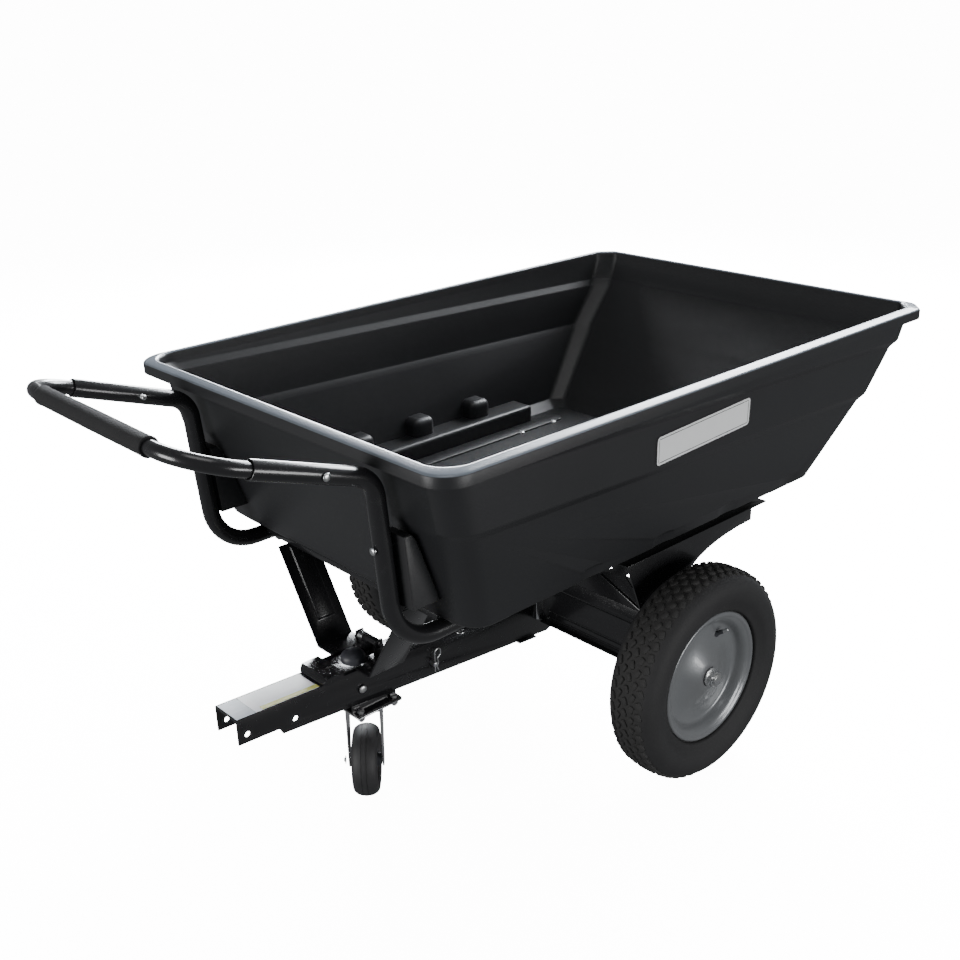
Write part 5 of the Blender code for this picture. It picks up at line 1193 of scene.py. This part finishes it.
def make_beam():
    """Axle beam with rolled swages along its face and a pressed bead on each gusset."""
    beam = softened("axle_beam", 0.0009)
    for word, side in SIDES:
        for height in SWAGE_HEIGHTS:
            start, end = (BEAM_FACE_X - 0.0018, side * 0.046, height), (BEAM_FACE_X - 0.0018, side * 0.272, height)
            swage = rod("swage", start, end, SWAGE_RADIUS, 20)
            soften(swage, 0.0030, 4)
            cut(beam, swage)
        (x, y, z), (end_x, end_y, end_z) = GUSSET_BEAD
        bead = rod("gusset_bead", (x, side * y, z), (end_x, side * end_y, end_z), 0.0030, 16)
        soften(bead, 0.0026, 3)
        add_on(beam, bead)
    settle(beam, gloss_black, "tub_frame", "gloss_black_steel", "axle_beam")


SOFTENED_PIECES = (("side_plate_near", 0.0010, "tub_frame", gloss_black), ("side_plate_far", 0.0010, "tub_frame", gloss_black),
                   ("strut_near", 0.0012, "tub_frame", gloss_black), ("strut_far", 0.0012, "tub_frame", gloss_black),
                   ("front_cross_member", 0.0010, "tub_frame", gloss_black), ("latch_lever", 0.0008, "latch", gloss_black),
                   ("drawbar_channel", 0.0012, "drawbar", gloss_black), ("caster_bracket", 0.0010, "drawbar", gloss_black),
                   ("caster_plate", 0.0008, "drawbar", zinc_plate), ("stop_plate", 0.0008, "drawbar", zinc_plate),
                   ("pivot_bracket", 0.0009, "tub_frame", zinc_plate), ("pivot_sleeve", 0.0006, "drawbar", zinc_plate),
                   ("caster_fork", 0.0007, "caster_swivel", zinc_plate), ("swivel_race", 0.0008, "caster_swivel", zinc_plate),
                   ("king_pin", 0.0006, "drawbar", zinc_plate))


def make_sheet_metal():
    slots = {part["node"]: part["material_slot"] for part in frame["record"]["subparts"]}
    for node, width, body, look in SOFTENED_PIECES:
        piece = softened(node, width)
        settle(piece, look, body, slots[node], node)


def make_saddle():
    """Saddle with a round nose and ribs across its block."""
    saddle = softened("saddle", 0.0)
    front = min(vertex.co.x for vertex in saddle.data.vertices)
    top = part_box("saddle")[1].z
    edit(saddle, False)
    pick("EDGE", lambda place, way: abs(way.z) > 0.98 and place.x < front + 0.001 and abs(place.y) > 0.03)
    bpy.ops.mesh.bevel(offset=0.020, segments=8, affect="EDGES", clamp_overlap=True)
    done()
    soften(saddle, 0.0009, 2, 25.0)
    block_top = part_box("saddle")[0].z + 0.0195
    for index in range(5):
        rib_x = front + 0.0085 + index * 0.0072
        reach = 0.026 if index else 0.020
        rib = block("saddle_rib", (rib_x, -reach, block_top - 0.006), (rib_x + 0.0032, reach, block_top + 0.0006),
                    0.0011, 2)
        add_on(saddle, rib)
    settle(saddle, gloss_black, "tub_frame", "gloss_black_steel", "saddle")


def make_pedal():
    """Round foot pad: a domed cap over a skirt."""
    low, high = (Vector(corner) - Vector((AXLE.x, 0.0, 0.0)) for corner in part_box("pedal_pad"))
    radius, height = (high.x - low.x) / 2 * 1.10, (high.z - low.z) * 1.20
    section = [(0.0, 0.0), (0.0, radius * 0.92), (0.0010, radius), (height * 0.32, radius)]
    section += [(height * (0.32 + 0.68 * sin(radians(step * 9))), radius * cos(radians(step * 9)) ** 0.9)
                for step in range(1, 10)] + [(height, 0.0)]
    pad = turned("pedal_pad_fine", section, ((low.x + high.x) / 2, (low.y + high.y) / 2, low.z), (0, 0, 1), 48,
                 closed=False)
    settle(pad, black_plastic, "latch", "black_plastic", "pedal_pad", sharp=40.0)


def make_spring():
    """Return spring of the foot latch, with its coils made round."""
    spring = softened("latch_spring", 0.0)
    modify(spring, "SUBSURF", levels=1, render_levels=1)
    settle(spring, zinc_plate, "tub_frame", "zinc_plate", "latch_spring", sharp=60.0)


# Caster

CASTER_DIRECTION = Vector((-sin(radians(228.0)), cos(radians(228.0)), 0.0))


def make_caster_wheel():
    low, high = (Vector(corner) - Vector((AXLE.x, 0.0, 0.0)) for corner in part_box("caster_tyre"))
    centre = (low + high) / 2
    radius = (high.z - low.z) / 2
    half = 0.022
    rubber = [(half * 0.70, 0.0412), (half * 0.86, 0.0430), (half * 0.98, 0.0470)]
    rubber += [(half * cos(radians(angle)), 0.0490 + (radius - 0.0490) * sin(radians(angle)))
               for angle in (0, 14, 28, 42, 54, 64, 72)]
    rubber += [(half * 0.24, radius * 0.993), (half * 0.22, radius * 0.984), (half * 0.17, radius * 0.984),
               (half * 0.15, radius * 0.997), (half * 0.05, radius)]
    section = rubber + [(-along, size) for along, size in reversed(rubber)]
    tyre = turned("caster_tyre_fine", section, centre, CASTER_DIRECTION, 72)
    settle(tyre, caster_rubber, "caster_wheel", "tyre_rubber", "caster_tyre")

    hub = [(0.0, 0.0046), (0.0258, 0.0046), (0.0260, 0.0060), (0.0258, 0.0105), (0.0245, 0.0118), (0.0150, 0.0125),
           (0.0120, 0.0150), (0.0112, 0.0300), (0.0126, 0.0345), (0.0150, 0.0360), (0.0152, 0.0396), (0.0140, 0.0402)]
    section = hub + [(-along, size) for along, size in reversed(hub[1:])]
    core = turned("caster_hub_fine", section, centre, CASTER_DIRECTION, 60)
    settle(core, black_plastic, "caster_wheel", "black_plastic", "caster_hub")

    reach = 0.0392
    bolt = hex_bolt("caster_axle_bolt_fine", 2 * reach, 0.0072)
    aim(bolt, centre + CASTER_DIRECTION * reach, CASTER_DIRECTION)
    settle(bolt, zinc_plate, "caster_swivel", "zinc_plate", "caster_axle_bolt")


# Plain films on the drawbar

FILM_FRONT_X = -0.690
FILM_REAR_X = -0.550
FILM_HALF = 0.0285


def bar_top(x):
    """Height of the drawbar's top face at a station along it."""
    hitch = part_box("drawbar_channel")
    slope = (AXLE.z + 0.036 - hitch[1].z) / -(hitch[0].x - AXLE.x)
    return hitch[1].z + slope * (x - (hitch[0].x - AXLE.x))


def film(name, look, front, rear, low, high, lift):
    lay = [(front, low), (rear, low), (rear, high), (front, high)]
    sheet = trace(name, [(x, y, bar_top(x) + lift) for x, y in lay], fill=True)
    edit(sheet)
    bpy.ops.mesh.normals_make_consistent(inside=False)
    done()
    if sheet.data.polygons[0].normal.z < 0:
        edit(sheet)
        bpy.ops.mesh.flip_normals()
        done()
    modify(sheet, "SOLIDIFY", thickness=0.00025, offset=1.0)
    settle(sheet, look, "drawbar", "gloss_black_steel", sharp=8.0)


def make_drawbar_films():
    film("drawbar_film", label_white, FILM_FRONT_X + 0.022, FILM_REAR_X, -FILM_HALF, FILM_HALF, 0.00015)
    film("drawbar_film_front", label_grey, FILM_FRONT_X - 0.013, FILM_FRONT_X + 0.0216, -FILM_HALF, FILM_HALF,
         0.00015)
    film("drawbar_film_strip", label_yellow, -0.655, FILM_REAR_X + 0.001, -FILM_HALF + 0.0008, -0.0175, 0.00045)


# What stays as the CAD made it gets its finish too

KEPT_FINISHES = {gloss_black: ("gloss_black_steel",), tub_plastic: ("charcoal_tub_plastic",),
                 zinc_plate: ("zinc_plate",), rim_paint: ("grey_rim_paint",), tyre_rubber: ("tyre_rubber",),
                 grip_foam: ("grip_foam",), black_plastic: ("black_plastic",)}


def finish_kept_nodes():
    slots = {part["node"]: part["material_slot"] for part in frame["record"]["subparts"]}
    for look, names in KEPT_FINISHES.items():
        for node, obj in frame["nodes"].items():
            if slots[node] in names:
                obj.data.materials.clear()
                obj.data.materials.append(look_of(look))


make_camera()
make_studio()
finish_kept_nodes()
make_tub()
make_side_sticker()
make_tubes()
make_wheels()
make_axle()
make_bolts()
make_pins()
make_beam()
make_sheet_metal()
make_saddle()
make_pedal()
make_spring()
make_caster_wheel()
make_drawbar_films()

clear()
